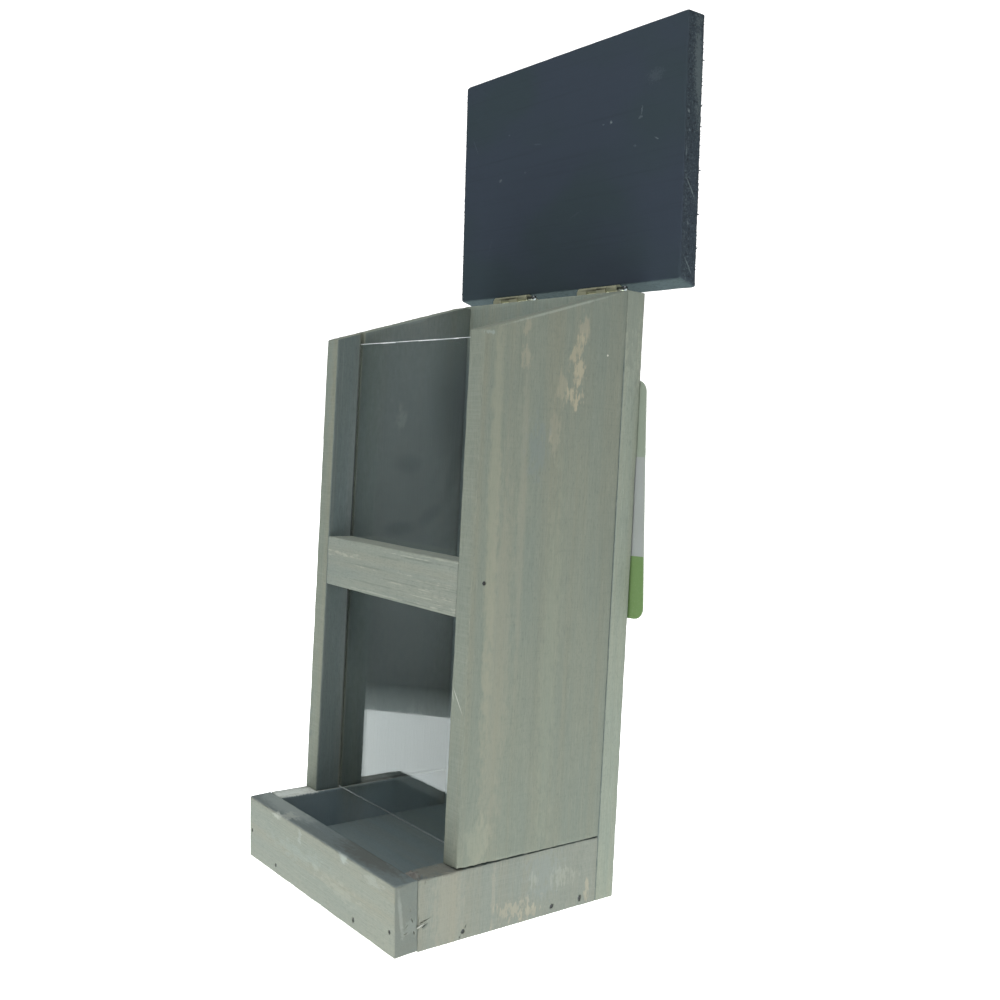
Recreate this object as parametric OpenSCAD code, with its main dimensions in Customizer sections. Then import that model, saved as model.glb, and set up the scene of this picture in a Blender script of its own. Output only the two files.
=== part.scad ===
// Silo bird feeder: a narrow seed hopper of painted boards on a shallow tray, with a clear front
// pane in grooves and a sloping lid on two brass butt hinges. Millimetres, +Z up, front faces -Y.
// The origin is the middle of the footprint, on the ground. The lid is drawn standing open.

/* [Body] */
// Width across the tray and the back board
body_w = 139; // [110:1:180]
// Height of the back board above the ground
body_h = 300; // [260:1:380]
// How far the side panels' tops fall from the back board to their front edges
panel_fall = 27.5; // [15:0.5:70]
// Depth of the side panels, from the back board to their front edges
panel_depth = 86; // [70:1:100]
// Length of the tray rails, from the back board to the front board
rail_l = 105; // [103:1:140]
// Height of the tray rails
rail_h = 32; // [26:0.5:50]
// Height of the board across the front of the tray
front_h = 31.5; // [24:0.5:50]
// How far the front board leans outwards at its top, in degrees
front_lean = 2.8; // [0:0.2:4]

/* [Boards] */
// Thickness of the back board
back_t = 12; // [9:0.5:16]
// Thickness of the tray's front board
front_t = 12; // [9:0.5:16]
// Thickness of the tray rails
rail_t = 12; // [12:0.5:16]
// Thickness of the tray floor
floor_t = 12.5; // [9:0.5:16]
// Thickness of the side panels
panel_t = 11; // [9:0.5:12]
// Radius of the worn arrises along each board
arris_r = 0.8; // [0.3:0.1:2]

/* [Cross slat] */
// Height of the slat's lower edge above the ground
slat_z = 143; // [90:1:180]
// Height of the slat
slat_h = 25.5; // [18:0.5:40]
// Thickness of the slat, which is also how far the pane stands behind the panels' front edges
slat_t = 14; // [10:0.5:16]

/* [Window] */
// Thickness of the clear pane
pane_t = 2; // [1.5:0.5:3]
// Depth of the grooves that hold the pane
groove_d = 3; // [2:0.5:5]
// Room in the groove on each face of the pane
pane_room = 0.15; // [0.1:0.05:0.4]
// How far the pane's top edge lies below the sloping tops of the panels
pane_drop = 5.5; // [2:0.5:12]

/* [Lid] */
// Width of the lid
lid_w = 178; // [150:1:230]
// Length of the lid's underside, from its hinged edge to its front edge
lid_l = 128; // [112:1:160]
// Thickness of the lid
lid_t = 11; // [9:0.5:16]
// Radius of the lid's corners
lid_corner_r = 1.5; // [1:0.5:8]
// How far the lid stands open, in degrees from closed
lid_open = 106; // [0:1:170]

/* [Hinges] */
// Length of each hinge
hinge_l = 29; // [25:1:40]
// Distance of the left hinge's middle from the left end of the back board
left_hinge_in = 30.5; // [20:0.5:36]
// Distance of the right hinge's middle from the right end of the back board
right_hinge_in = 36.5; // [26:0.5:36.5]
// Width of a hinge leaf, from the pin's middle
leaf_w = 10.5; // [9:0.5:11]
// Thickness of a hinge leaf
leaf_t = 1; // [0.8:0.1:1.4]
// Radius of the hinge barrel
barrel_r = 2; // [1.8:0.1:2.6]
// Radius of the hinge pin
pin_r = 0.9; // [0.7:0.1:1.1]
// Number of knuckles in a hinge
knuckle_count = 4; // [3:1:6]

/* [Label card] */
// Width of the card behind the back board
card_w = 62; // [40:1:70]
// Height of the card
card_h = 118; // [80:1:130]
// Thickness of the card
card_t = 0.5; // [0.3:0.1:0.8]
// Radius of the card's corners
card_corner_r = 6; // [2:0.5:12]

/* [Hidden] */

// Overrun of a cut past the face that it starts from
cut_over = 1;
round_fn = 32;
arris_steps = 3;
corner_steps = 6;

// Places of the carcass
half_w = body_w / 2;
body_d = front_t + rail_l + back_t;
front_y = -body_d / 2;
rear_y = body_d / 2;
board_y = rear_y - back_t;
rail_front_y = board_y - rail_l;
panel_y = board_y - panel_depth;
panel_front_h = body_h - panel_fall;
slope = atan(panel_fall / panel_depth);
lean_reach = max(rail_h, floor_t) * sin(front_lean);

// The pane runs in its grooves just behind the slat, and stands on the rails
groove_y = panel_y + slat_t;
groove_w = pane_t + 2 * pane_room;
pane_edge_room = 0.4;
pane_seat = 0.3;
pane_top = panel_front_h + slat_t * tan(slope) - pane_drop;

// Hinge axis, behind the back board's top edge
leaf_set = 0.3;
hinge_lift = 4;
hinge_y = rear_y + barrel_r + leaf_set;
hinge_z = body_h + hinge_lift;
left_hinge_x = left_hinge_in - half_w;
right_hinge_x = half_w - right_hinge_in;
knuckle_gap = 0.3;
knuckle_l = hinge_l / knuckle_count;
pin_room = 0.05;
pin_out = 5;
pin_head_r = 1.3;
pin_tail = 0.6;

// Closed lid: its underside lies this far above the panels' sloping tops
lid_room = 0.3;

// Countersunk screws of the hinges
screw_r = 1.1;
screw_head_r = 2;
screw_head_h = 0.9;
screw_l = 9;
screw_tip_l = 2.4;
screw_room = 0.05;
screw_spread_share = 0.3;

// Panel pins, punched a little below the face
nail_r = 0.7;
nail_head_r = 0.95;
nail_head_h = 0.6;
nail_l = 25;
nail_tip_l = 1.8;
nail_set = 0.4;
nail_room = 0.05;

// Places of the pins, as shares of the face that each row is driven through
front_nail_shares = [[-0.48, 0.45], [-0.29, 0.14], [0.255, 0.14], [0.471, 0.33]];
floor_nail_shares = [0.23, 0.73, 0.9];
floor_nail_z_share = 0.3;
slat_nail_z_share = 0.66;
slat_nail_y_share = 0.5;
back_nail_x_share = 0.458;
back_floor_nail_x_share = 0.22;
back_nail_z_shares = [0.06, 0.22, 0.5, 0.8];

// Label card: how far its middle lies to the right, its top's height and its lean
card_x_share = 0.305;
card_top_share = 0.853;
card_lean = 2.4;
staple_r = 0.35;
staple_w = 10;
staple_leg = 6;
staple_drop = 8;

// Outline of an a by b rectangle from the origin, with its corners rounded
function eased_outline(a, b, r, steps) = [
    for (corner = [[a - r, b - r, 0], [r, b - r, 90], [r, r, 180], [a - r, r, 270]])
        for (i = [0:steps])
            [corner[0] + r * cos(corner[2] + 90 * i / steps),
             corner[1] + r * sin(corner[2] + 90 * i / steps)]
];

// A board of size [x, y, z] from its low corner, with the grain and its worn arrises along X
module board_along_x(size) {
    rotate([90, 0, 90])
        linear_extrude(height = size[0])
            polygon(eased_outline(size[1], size[2], arris_r, arris_steps));
}

// The same with the grain along Y
module board_along_y(size) {
    translate([0, size[1], 0])
        rotate([90, 0, 0])
            linear_extrude(height = size[1])
                polygon(eased_outline(size[0], size[2], arris_r, arris_steps));
}

// The same with the grain along Z
module board_along_z(size) {
    linear_extrude(height = size[2])
        polygon(eased_outline(size[0], size[1], arris_r, arris_steps));
}

// A panel pin driven along +Z from the face at z = 0
module nail() {
    translate([0, 0, nail_set]) {
        cylinder(r = nail_head_r, h = nail_head_h, $fn = round_fn);
        cylinder(r = nail_r, h = nail_l - nail_tip_l, $fn = round_fn);
        translate([0, 0, nail_l - nail_tip_l])
            cylinder(r1 = nail_r, r2 = 0, h = nail_tip_l, $fn = round_fn);
    }
}

// The hole that the pin has made
module nail_hole() {
    translate([0, 0, -cut_over])
        cylinder(r = nail_head_r + nail_room, h = cut_over + nail_set + nail_head_h + nail_room,
                 $fn = round_fn);
    cylinder(r = nail_r + nail_room, h = nail_set + nail_l + nail_room, $fn = round_fn);
}

// Tips its children forwards about the front board's lower front edge
module leaning() {
    translate([0, front_y, 0])
        rotate([front_lean, 0, 0])
            translate([0, -front_y, 0])
                children();
}

// All the space in front of the leaning board's rear face, which the rails and floor are sawn to
module front_space() {
    leaning()
        translate([-half_w - cut_over, front_y - body_d, -body_h])
            cube([body_w + 2 * cut_over, body_d + front_t, 2 * body_h]);
}

// Puts its children on the front board's face, pointing backwards
module at_front_nails() {
    leaning()
        for (place = front_nail_shares)
            translate([place[0] * body_w, front_y, place[1] * front_h])
                rotate([-90, 0, 0])
                    children();
}

// Puts its children on one rail's outer face, pointing inwards; side is -1 left, 1 right
module at_floor_nails(side) {
    for (share = floor_nail_shares)
        translate([side * half_w, rail_front_y + share * rail_l, floor_nail_z_share * floor_t])
            rotate([0, -side * 90, 0])
                children();
}

// Puts its children on one panel's outer face, pointing into the slat's end
module at_slat_nail(side) {
    translate([side * half_w, panel_y + slat_nail_y_share * slat_t,
               slat_z + slat_nail_z_share * slat_h])
        rotate([0, -side * 90, 0])
            children();
}

// Puts its children on the back board's rear face, pointing forwards into rails, panels and floor
module at_back_nails() {
    for (side = [-1, 1]) {
        for (share = back_nail_z_shares)
            translate([side * back_nail_x_share * body_w, rear_y, share * body_h])
                rotate([90, 0, 0])
                    children();
        translate([side * back_floor_nail_x_share * body_w, rear_y, floor_t / 2])
            rotate([90, 0, 0])
                children();
    }
}

// Moves its children, drawn round the hinge axis with the lid closed, to their place
module hinged(open) {
    translate([0, hinge_y, hinge_z])
        rotate([-open, 0, 0])
            children();
}

// Puts its children on a leaf's screw places; up is 1 on the moving leaf, -1 on the fixed one
module at_leaf_screws(hinge_x, up) {
    for (side = [-1, 1])
        translate([hinge_x + side * screw_spread_share * hinge_l,
                   leaf_t - barrel_r - leaf_set,
                   up * (barrel_r + leaf_w) / 2])
            rotate([90, 0, 0])
                children();
}

// A countersunk screw driven along +Z, its head flush at z = 0
module screw() {
    cylinder(r1 = screw_head_r, r2 = screw_r, h = screw_head_h, $fn = round_fn);
    cylinder(r = screw_r, h = screw_l - screw_tip_l, $fn = round_fn);
    translate([0, 0, screw_l - screw_tip_l])
        cylinder(r1 = screw_r, r2 = screw_r / 4, h = screw_tip_l, $fn = round_fn);
}

// The countersink in the leaf and the hole in the wood behind it
module screw_hole() {
    translate([0, 0, -cut_over])
        cylinder(r = screw_head_r + screw_room, h = cut_over + screw_room, $fn = round_fn);
    translate([0, 0, screw_room])
        cylinder(r1 = screw_head_r + screw_room, r2 = screw_r + screw_room, h = screw_head_h,
                 $fn = round_fn);
    cylinder(r = screw_r + screw_room, h = screw_l + screw_room, $fn = round_fn);
}

// One leaf of a butt hinge with every second knuckle, drawn round the hinge axis; the plate lies
// on the side up (1) or down (-1), and first is the index of its first knuckle
module leaf(hinge_x, up, first) {
    plate_y = -barrel_r - leaf_set;
    difference() {
        union() {
            translate([hinge_x - hinge_l / 2, plate_y, up > 0 ? barrel_r + knuckle_gap : -leaf_w])
                cube([hinge_l, leaf_t, leaf_w - barrel_r - knuckle_gap]);
            for (i = [first:2:knuckle_count - 1])
                translate([hinge_x - hinge_l / 2 + i * knuckle_l + knuckle_gap / 2, 0, 0]) {
                    rotate([0, 90, 0])
                        cylinder(r = barrel_r, h = knuckle_l - knuckle_gap, $fn = round_fn);
                    translate([0, plate_y, up > 0 ? 0 : -barrel_r - 2 * knuckle_gap])
                        cube([knuckle_l - knuckle_gap, leaf_t, barrel_r + 2 * knuckle_gap]);
                }
        }
        translate([hinge_x - hinge_l / 2 - cut_over, 0, 0])
            rotate([0, 90, 0])
                cylinder(r = pin_r + pin_room, h = hinge_l + 2 * cut_over, $fn = round_fn);
        at_leaf_screws(hinge_x, up)
            screw_hole();
    }
}

// A hinge pin with a domed head standing out past the right end of the barrel
module pin(hinge_x) {
    translate([hinge_x - hinge_l / 2 - pin_tail, 0, 0])
        rotate([0, 90, 0])
            cylinder(r = pin_r, h = hinge_l + pin_tail + pin_out, $fn = round_fn);
    translate([hinge_x + hinge_l / 2 + pin_out, 0, 0])
        sphere(r = pin_head_r, $fn = round_fn);
}

// The back board stands on the ground and carries the hinges, rails and panels
module back_board() {
    color("#8c958b")
        difference() {
            translate([-half_w, board_y, 0])
                board_along_z([body_w, back_t, body_h]);
            at_back_nails()
                nail_hole();
            for (hinge_x = [left_hinge_x, right_hinge_x])
                hinged(0)
                    at_leaf_screws(hinge_x, -1)
                        screw_hole();
            at_staple()
                staple_holes();
        }
}

// One side of the tray; side is -1 left, 1 right
module tray_rail(side) {
    color("#979d90")
        difference() {
            translate([side > 0 ? half_w - rail_t : -half_w, rail_front_y - lean_reach, 0])
                board_along_y([rail_t, rail_l + lean_reach, rail_h]);
            front_space();
            at_floor_nails(side)
                nail_hole();
            at_front_nails()
                nail_hole();
            at_back_nails()
                nail_hole();
        }
}

module left_tray_rail() {
    tray_rail(-1);
}

module right_tray_rail() {
    tray_rail(1);
}

// The board across the rails' front ends
module tray_front_board() {
    color("#9fa69b")
        difference() {
            leaning()
                translate([-half_w, front_y, 0])
                    board_along_x([body_w, front_t, front_h]);
            at_front_nails()
                nail_hole();
        }
}

// The floor board between the rails
module tray_floor() {
    color("#454b4b")
        difference() {
            translate([rail_t - half_w, rail_front_y - lean_reach, 0])
                cube([body_w - 2 * rail_t, rail_l + lean_reach, floor_t]);
            front_space();
            for (side = [-1, 1])
                at_floor_nails(side)
                    nail_hole();
            at_front_nails()
                nail_hole();
            at_back_nails()
                nail_hole();
        }
}

// A side of the hopper with a sloping top and a groove for the pane, standing on its rail
module side_panel(side) {
    color("#8f978c")
        difference() {
            intersection() {
                translate([side > 0 ? half_w - panel_t : -half_w, 0, 0])
                    rotate([90, 0, 90])
                        linear_extrude(height = panel_t)
                            polygon([[panel_y, rail_h], [board_y, rail_h], [board_y, body_h],
                                     [panel_y, panel_front_h]]);
                translate([side > 0 ? half_w - panel_t : -half_w, panel_y, 0])
                    board_along_z([panel_t, panel_depth, body_h]);
            }
            translate([side > 0 ? half_w - panel_t - cut_over : panel_t - groove_d - half_w,
                       groove_y, rail_h - cut_over])
                cube([groove_d + cut_over, groove_w, body_h]);
            at_slat_nail(side)
                nail_hole();
            at_back_nails()
                nail_hole();
        }
}

module left_side_panel() {
    side_panel(-1);
}

module right_side_panel() {
    side_panel(1);
}

// The slat across the front of the pane, let in between the panels
module cross_slat() {
    color("#7d867e")
        difference() {
            translate([panel_t - half_w, panel_y, slat_z])
                board_along_x([body_w - 2 * panel_t, slat_t, slat_h]);
            for (side = [-1, 1])
                at_slat_nail(side)
                    nail_hole();
        }
}

// The clear pane, standing on the rails between its grooves
module acrylic_pane() {
    color([0.85, 0.9, 0.9, 0.35])
        translate([panel_t - groove_d + pane_edge_room - half_w, groove_y + pane_room,
                   rail_h + pane_seat])
            cube([body_w - 2 * (panel_t - groove_d + pane_edge_room), pane_t,
                  pane_top - rail_h - pane_seat]);
}

// The lid: a plain board whose hinged edge is sawn upright to meet the back board's rear face
module lid_board() {
    under = [-barrel_r - leaf_set,
             lid_room / cos(slope) + back_t * tan(slope) - hinge_lift];
    along = [-cos(slope), -sin(slope)];
    up = [-sin(slope), cos(slope)];
    color("#323b43")
        difference() {
            hinged(lid_open)
                intersection() {
                    translate([-lid_w / 2, 0, 0])
                        rotate([90, 0, 90])
                            linear_extrude(height = lid_w)
                                polygon([under, under + lid_l * along,
                                         under + lid_l * along + lid_t * up,
                                         under + [0, lid_t / cos(slope)]]);
                    translate([0, under[0], under[1]])
                        rotate([slope, 0, 0])
                            translate([-lid_w / 2, -lid_l, -cut_over])
                                linear_extrude(height = lid_t + 2 * cut_over)
                                    polygon(eased_outline(lid_w, lid_l + lid_t * tan(slope),
                                                          lid_corner_r, corner_steps));
                }
            for (hinge_x = [left_hinge_x, right_hinge_x])
                hinged(lid_open)
                    at_leaf_screws(hinge_x, 1)
                        screw_hole();
        }
}

module fixed_leaf(hinge_x) {
    color("#b59a5b")
        hinged(0)
            leaf(hinge_x, -1, 0);
}

module moving_leaf(hinge_x) {
    color("#b59a5b")
        hinged(lid_open)
            leaf(hinge_x, 1, 1);
}

module hinge_pin(hinge_x) {
    color("#d8d2c0")
        hinged(0)
            pin(hinge_x);
}

module left_fixed_leaf() {
    fixed_leaf(left_hinge_x);
}

module left_moving_leaf() {
    moving_leaf(left_hinge_x);
}

module left_hinge_pin() {
    hinge_pin(left_hinge_x);
}

module right_fixed_leaf() {
    fixed_leaf(right_hinge_x);
}

module right_moving_leaf() {
    moving_leaf(right_hinge_x);
}

module right_hinge_pin() {
    hinge_pin(right_hinge_x);
}

module fixed_leaf_screws() {
    color("#b8a56c")
        for (hinge_x = [left_hinge_x, right_hinge_x])
            hinged(0)
                at_leaf_screws(hinge_x, -1)
                    screw();
}

module moving_leaf_screws() {
    color("#b8a56c")
        for (hinge_x = [left_hinge_x, right_hinge_x])
            hinged(lid_open)
                at_leaf_screws(hinge_x, 1)
                    screw();
}

module front_board_nails() {
    color("#3a3a38")
        at_front_nails()
            nail();
}

module left_floor_nails() {
    color("#3a3a38")
        at_floor_nails(-1)
            nail();
}

module right_floor_nails() {
    color("#3a3a38")
        at_floor_nails(1)
            nail();
}

module slat_nails() {
    color("#3a3a38")
        for (side = [-1, 1])
            at_slat_nail(side)
                nail();
}

module back_board_nails() {
    color("#3a3a38")
        at_back_nails()
            nail();
}

// Puts its children at the middle of the card's top edge, on the back board's rear face
module at_card() {
    translate([card_x_share * body_w, rear_y, card_top_share * body_h])
        rotate([0, -card_lean, 0])
            children();
}

// Puts its children at the staple, below the card's top edge
module at_staple() {
    at_card()
        translate([0, 0, -staple_drop])
            children();
}

// The two holes that the staple's legs have made
module staple_holes() {
    for (side = [-1, 1])
        translate([side * (staple_w / 2 - staple_r), card_t + cut_over, 0])
            rotate([90, 0, 0])
                cylinder(r = staple_r + nail_room, h = card_t + cut_over + staple_leg,
                         $fn = round_fn);
}

// A stiff printed card, stapled flat to the rear of the back board
module label_card() {
    color("#8fa58a")
        difference() {
            at_card()
                translate([-card_w / 2, card_t, -card_h])
                    rotate([90, 0, 0])
                        linear_extrude(height = card_t)
                            polygon(eased_outline(card_w, card_h, card_corner_r, corner_steps));
            at_staple()
                staple_holes();
        }
}

module card_staple() {
    color("#b9bcbd")
        at_staple() {
            translate([-staple_w / 2, card_t + staple_r, 0])
                rotate([0, 90, 0])
                    cylinder(r = staple_r, h = staple_w, $fn = round_fn);
            for (side = [-1, 1])
                translate([side * (staple_w / 2 - staple_r), card_t + staple_r, 0])
                    rotate([90, 0, 0])
                        cylinder(r = staple_r, h = card_t + staple_leg, $fn = round_fn);
        }
}

back_board();
left_tray_rail();
right_tray_rail();
tray_front_board();
tray_floor();
left_side_panel();
right_side_panel();
cross_slat();
acrylic_pane();
lid_board();
left_fixed_leaf();
left_moving_leaf();
left_hinge_pin();
right_fixed_leaf();
right_moving_leaf();
right_hinge_pin();
fixed_leaf_screws();
moving_leaf_screws();
front_board_nails();
left_floor_nails();
right_floor_nails();
slat_nails();
back_board_nails();
label_card();
card_staple();
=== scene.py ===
import math
import random

import bmesh
import bpy
import numpy as np
from mathutils import Matrix, Vector, noise


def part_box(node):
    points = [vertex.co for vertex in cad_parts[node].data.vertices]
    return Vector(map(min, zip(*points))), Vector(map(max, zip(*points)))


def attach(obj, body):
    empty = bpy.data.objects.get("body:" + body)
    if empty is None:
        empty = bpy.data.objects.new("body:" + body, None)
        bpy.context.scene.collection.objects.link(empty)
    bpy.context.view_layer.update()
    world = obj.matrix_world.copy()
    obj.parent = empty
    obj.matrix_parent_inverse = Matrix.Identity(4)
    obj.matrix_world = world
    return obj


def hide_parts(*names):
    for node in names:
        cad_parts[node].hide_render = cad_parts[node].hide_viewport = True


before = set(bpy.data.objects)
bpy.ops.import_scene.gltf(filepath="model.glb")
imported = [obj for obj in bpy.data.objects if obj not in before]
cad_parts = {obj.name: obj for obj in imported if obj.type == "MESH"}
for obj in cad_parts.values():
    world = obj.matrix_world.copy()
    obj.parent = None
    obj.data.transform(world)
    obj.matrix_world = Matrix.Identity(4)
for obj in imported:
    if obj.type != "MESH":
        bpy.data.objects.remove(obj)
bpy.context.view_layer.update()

# Back board: one sawn pine board on end, the upright that everything else is nailed to. It is
# painted with a thin grey-green stain, and its top left corner has been knocked off.
MM = 0.001


def linear(colour):
    """Linear RGBA of an sRGB hex colour."""
    parts = [int(colour[i:i + 2], 16) / 255 for i in (1, 3, 5)]
    return [c / 12.92 if c <= 0.04045 else ((c + 0.055) / 1.055) ** 2.4 for c in parts] + [1]


def add(tree, kind, inputs, **settings):
    """Adds a node: settings are its properties, inputs are values or the sockets feeding it."""
    made = tree.nodes.new(kind)
    for key, value in settings.items():
        setattr(made, key, value)
    for key, value in inputs.items():
        if isinstance(value, bpy.types.NodeSocket):
            tree.links.new(value, made.inputs[key])
        else:
            made.inputs[key].default_value = value
    return made


def patterns(tree, grain, start, layers):
    """One noise for each layer, drawn out along the grain; sizes are real ones in millimetres."""
    place = add(tree, "ShaderNodeTexCoord", {}).outputs["Object"]
    made = {"place": place}
    for name, (across, along, detail) in layers.items():
        scale = [1 / (across * MM)] * 3
        scale[grain] = 1 / (along * MM)
        stretched = add(tree, "ShaderNodeMapping",
                        {"Vector": place, "Location": start, "Scale": scale}).outputs[0]
        made[name] = add(tree, "ShaderNodeTexNoise",
                         {"Vector": stretched, "Scale": 1.0, "Detail": detail,
                          "Roughness": 0.6}).outputs["Fac"]
    return made


def coated(tree, under, coats):
    """Lays thin coats on a colour, each as (where, begins, full, strength, colour): the coat
    begins where the pattern called where passes the first value, and is full at the second."""
    for where, begins, full, strength, colour in coats:
        share = add(tree, "ShaderNodeMapRange",
                    {"Value": where, "From Min": begins, "From Max": full, "To Max": strength},
                    interpolation_type="SMOOTHSTEP").outputs[0]
        under = add(tree, "ShaderNodeMix", {0: share, 6: under, 7: linear(colour)},
                    data_type="RGBA").outputs[2]
    return under


def marked(tree, colour, place, rag, marks):
    """Lays single marks on a colour: each is a ragged patch round a point, sizes in mm."""
    for middle, reach, turn, tint, strength, ragged in marks:
        local = add(tree, "ShaderNodeMapping",
                    {"Vector": place, "Location": [c * MM for c in middle],
                     "Rotation": [math.radians(t) for t in turn],
                     "Scale": [r * MM for r in reach]}, vector_type="TEXTURE").outputs[0]
        away = add(tree, "ShaderNodeVectorMath", {0: local}, operation="LENGTH").outputs["Value"]
        torn = add(tree, "ShaderNodeMath", {0: rag, 1: ragged, 2: away},
                   operation="MULTIPLY_ADD").outputs[0]
        middling = 0.5 * ragged
        colour = coated(tree, colour, [(torn, middling + 1.0, middling + 0.35, strength, tint)])
    return colour


def stained_pine(name, grain, start, took, marks=()):
    """Sawn pine under a thin grey-green stain: matt, with beige wood showing in long streaks,
    dark growth-ring lines, furry single fibres and faint saw marks across the grain. Took is the
    colour that this board's stain came out in, set against the lightest board."""
    material = bpy.data.materials.new(name)
    material.use_nodes = True
    tree = material.node_tree
    shader = tree.nodes["Principled BSDF"]
    # single fibres are about 0.03 mm wide, too fine to show, and are drawn 0.4 mm wide
    wood = patterns(tree, grain, start, {
        "streak": (8, 420, 3), "bloom": (30, 80, 4), "ring": (1.5, 170, 3), "fibre": (0.42, 9, 3),
        "pore": (0.6, 2, 3), "saw": (18, 0.6, 2), "rag": (2.0, 5, 5)})
    edge, inside, end, sawn = (
        add(tree, "ShaderNodeAttribute", {}, attribute_name=a).outputs["Fac"]
        for a in ("arris", "inside", "end_grain", "sawn_edge"))
    colour = coated(tree, linear("#9b9f93"), [
        (wood["bloom"], 0.34, 0.68, 0.6, "#8f9891"), (wood["streak"], 0.4, 0.78, 0.4, "#a39c88"),
        (wood["ring"], 0.46, 0.85, 0.3, "#7f867d"), (wood["fibre"], 0.5, 0.8, 0.5, "#b3b6aa"),
        (wood["fibre"], 0.46, 0.28, 0.4, "#737a72"),
        (wood["pore"], 0.5, 0.72, 0.5, "#7e857e"), (wood["saw"], 0.5, 0.75, 0.14, "#767e77")])
    # faces marked inside are darkened and cooled by #d0dcee: painted shade on inner and upward faces that
    # the lamps reach little
    for share, tone in ((1.0, took), (inside, "#d0dcee")):
        colour = add(tree, "ShaderNodeMix", {0: share, 6: colour, 7: linear(tone)},
                     data_type="RGBA", blend_type="MULTIPLY").outputs[2]
    lined = add(tree, "ShaderNodeMath", {0: wood["ring"], 1: inside},
                operation="MULTIPLY").outputs[0]
    combed = add(tree, "ShaderNodeMath", {0: wood["saw"], 1: sawn}, operation="MULTIPLY").outputs[0]
    rubbed = add(tree, "ShaderNodeMath", {0: wood["rag"], 1: edge}, operation="MULTIPLY").outputs[0]
    colour = coated(tree, colour, [
        (lined, 0.42, 0.6, 0.16, "#59625f"), (lined, 0.56, 0.72, 0.12, "#b4bab4"),
        (end, 0.0, 1.0, 0.6, "#616965"), (combed, 0.45, 0.7, 0.14, "#a7aca0"),
        (rubbed, 0.4, 0.66, 0.45, "#b4b3a3")])
    colour = marked(tree, colour, wood["place"], wood["rag"], marks)
    tree.links.new(colour, shader.inputs["Base Color"])
    tree.links.new(add(tree, "ShaderNodeMapRange",
                       {"Value": wood["fibre"], "From Min": 0.3, "From Max": 0.7,
                        "To Min": 0.68, "To Max": 0.92}).outputs[0], shader.inputs["Roughness"])
    height = add(tree, "ShaderNodeMath", {0: wood["ring"], 1: 0.8, 2: wood["fibre"]},
                 operation="MULTIPLY_ADD").outputs[0]
    tree.links.new(add(tree, "ShaderNodeBump", {"Height": height, "Strength": 0.55,
                                                "Distance": 0.25 * MM}).outputs[0],
                   shader.inputs["Normal"])
    shader.inputs["Specular IOR Level"].default_value = 0.35
    return material


def cuts(length, radius, step):
    """Places of the mesh lines along one side of a board: close over each rounded arris."""
    ease = radius * np.array([0, 0.42, 0.73])
    inner = np.linspace(radius, length - radius, max(2, round((length - 2 * radius) / step) + 1))
    return np.concatenate([ease, inner, length - ease[::-1]])


def sawn_block(low, size, grain, across, along, arris=0.8, wear=0.5, rough=0.12, wave=0.07):
    """A sawn board's points in mm, their outward directions and the faces. Its long arrises are
    rounded unevenly and dented, its faces are a little wavy, and its sawn ends are rough."""
    steps = [across] * 3
    steps[grain] = along
    radii = np.full(3, arris)
    radii[grain] = 0.5
    lines = [cuts(size[i], radii[i], steps[i]) for i in range(3)]
    count = [len(line) for line in lines]
    outer = np.ones(count, bool)
    outer[1:-1, 1:-1, 1:-1] = False
    number = np.full(count, -1)
    number[outer] = np.arange(outer.sum())
    where = np.argwhere(outer)
    points = np.stack([lines[i][where[:, i]] for i in range(3)], 1)
    low, size = np.array(low, float), np.array(size, float)
    uneven = np.array([noise.noise(Vector(p + low) / 14) for p in points])
    radius = radii * (1 + 0.45 * uneven[:, None])
    inner = np.clip(points, radius, size - radius)
    toward = (points - inner) / radius
    toward /= np.linalg.norm(toward, axis=1)[:, None]
    points = inner + radius * toward + low
    arrised = 2 * (1 - (toward ** 2).max(1))
    ended = toward[:, grain] ** 2
    stretch = np.full(3, 13.0)
    stretch[grain] = 110
    push = np.empty(len(points))
    for i, p in enumerate(points):
        v = Vector(p)
        dent = max(0, noise.noise(v / 7) + 0.6 * noise.noise(v / 2.3) - 0.12)
        push[i] = (-wear * arrised[i] * dent + wave * noise.noise(Vector(p / stretch))
                   + rough * ended[i] * (noise.noise(v / 0.9) + noise.noise(v / 2.5)))
    points += push[:, None] * toward
    faces = []
    for axis in range(3):
        for side in (0, -1):
            sheet = number.take(side, axis)
            a, b, c, d = sheet[:-1, :-1], sheet[1:, :-1], sheet[1:, 1:], sheet[:-1, 1:]
            order = (a, b, c, d) if (side == -1) != (axis == 1) else (a, d, c, b)
            faces.append(np.stack([q.ravel() for q in order], 1))
    return points, toward, np.concatenate(faces), arrised, ended


def facing(toward, direction):
    """How far each point belongs to the face that looks in a direction, from 0 to 1."""
    return np.clip(toward @ np.array(direction) * 1.6 - 0.5, 0, 1)


def piece(name, points, faces, materials, **shares):
    """A mesh object from points in mm, with a share stored for each point."""
    mesh = bpy.data.meshes.new(name)
    mesh.from_pydata((np.asarray(points) * MM).tolist(), [], np.asarray(faces).tolist())
    for label, values in shares.items():
        mesh.attributes.new(label, "FLOAT", "POINT").data.foreach_set(
            "value", np.asarray(values, np.float32))
    for material in materials:
        mesh.materials.append(material)
    mesh.shade_smooth()
    made = bpy.data.objects.new(name, mesh)
    bpy.context.scene.collection.objects.link(made)
    return made


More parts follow.
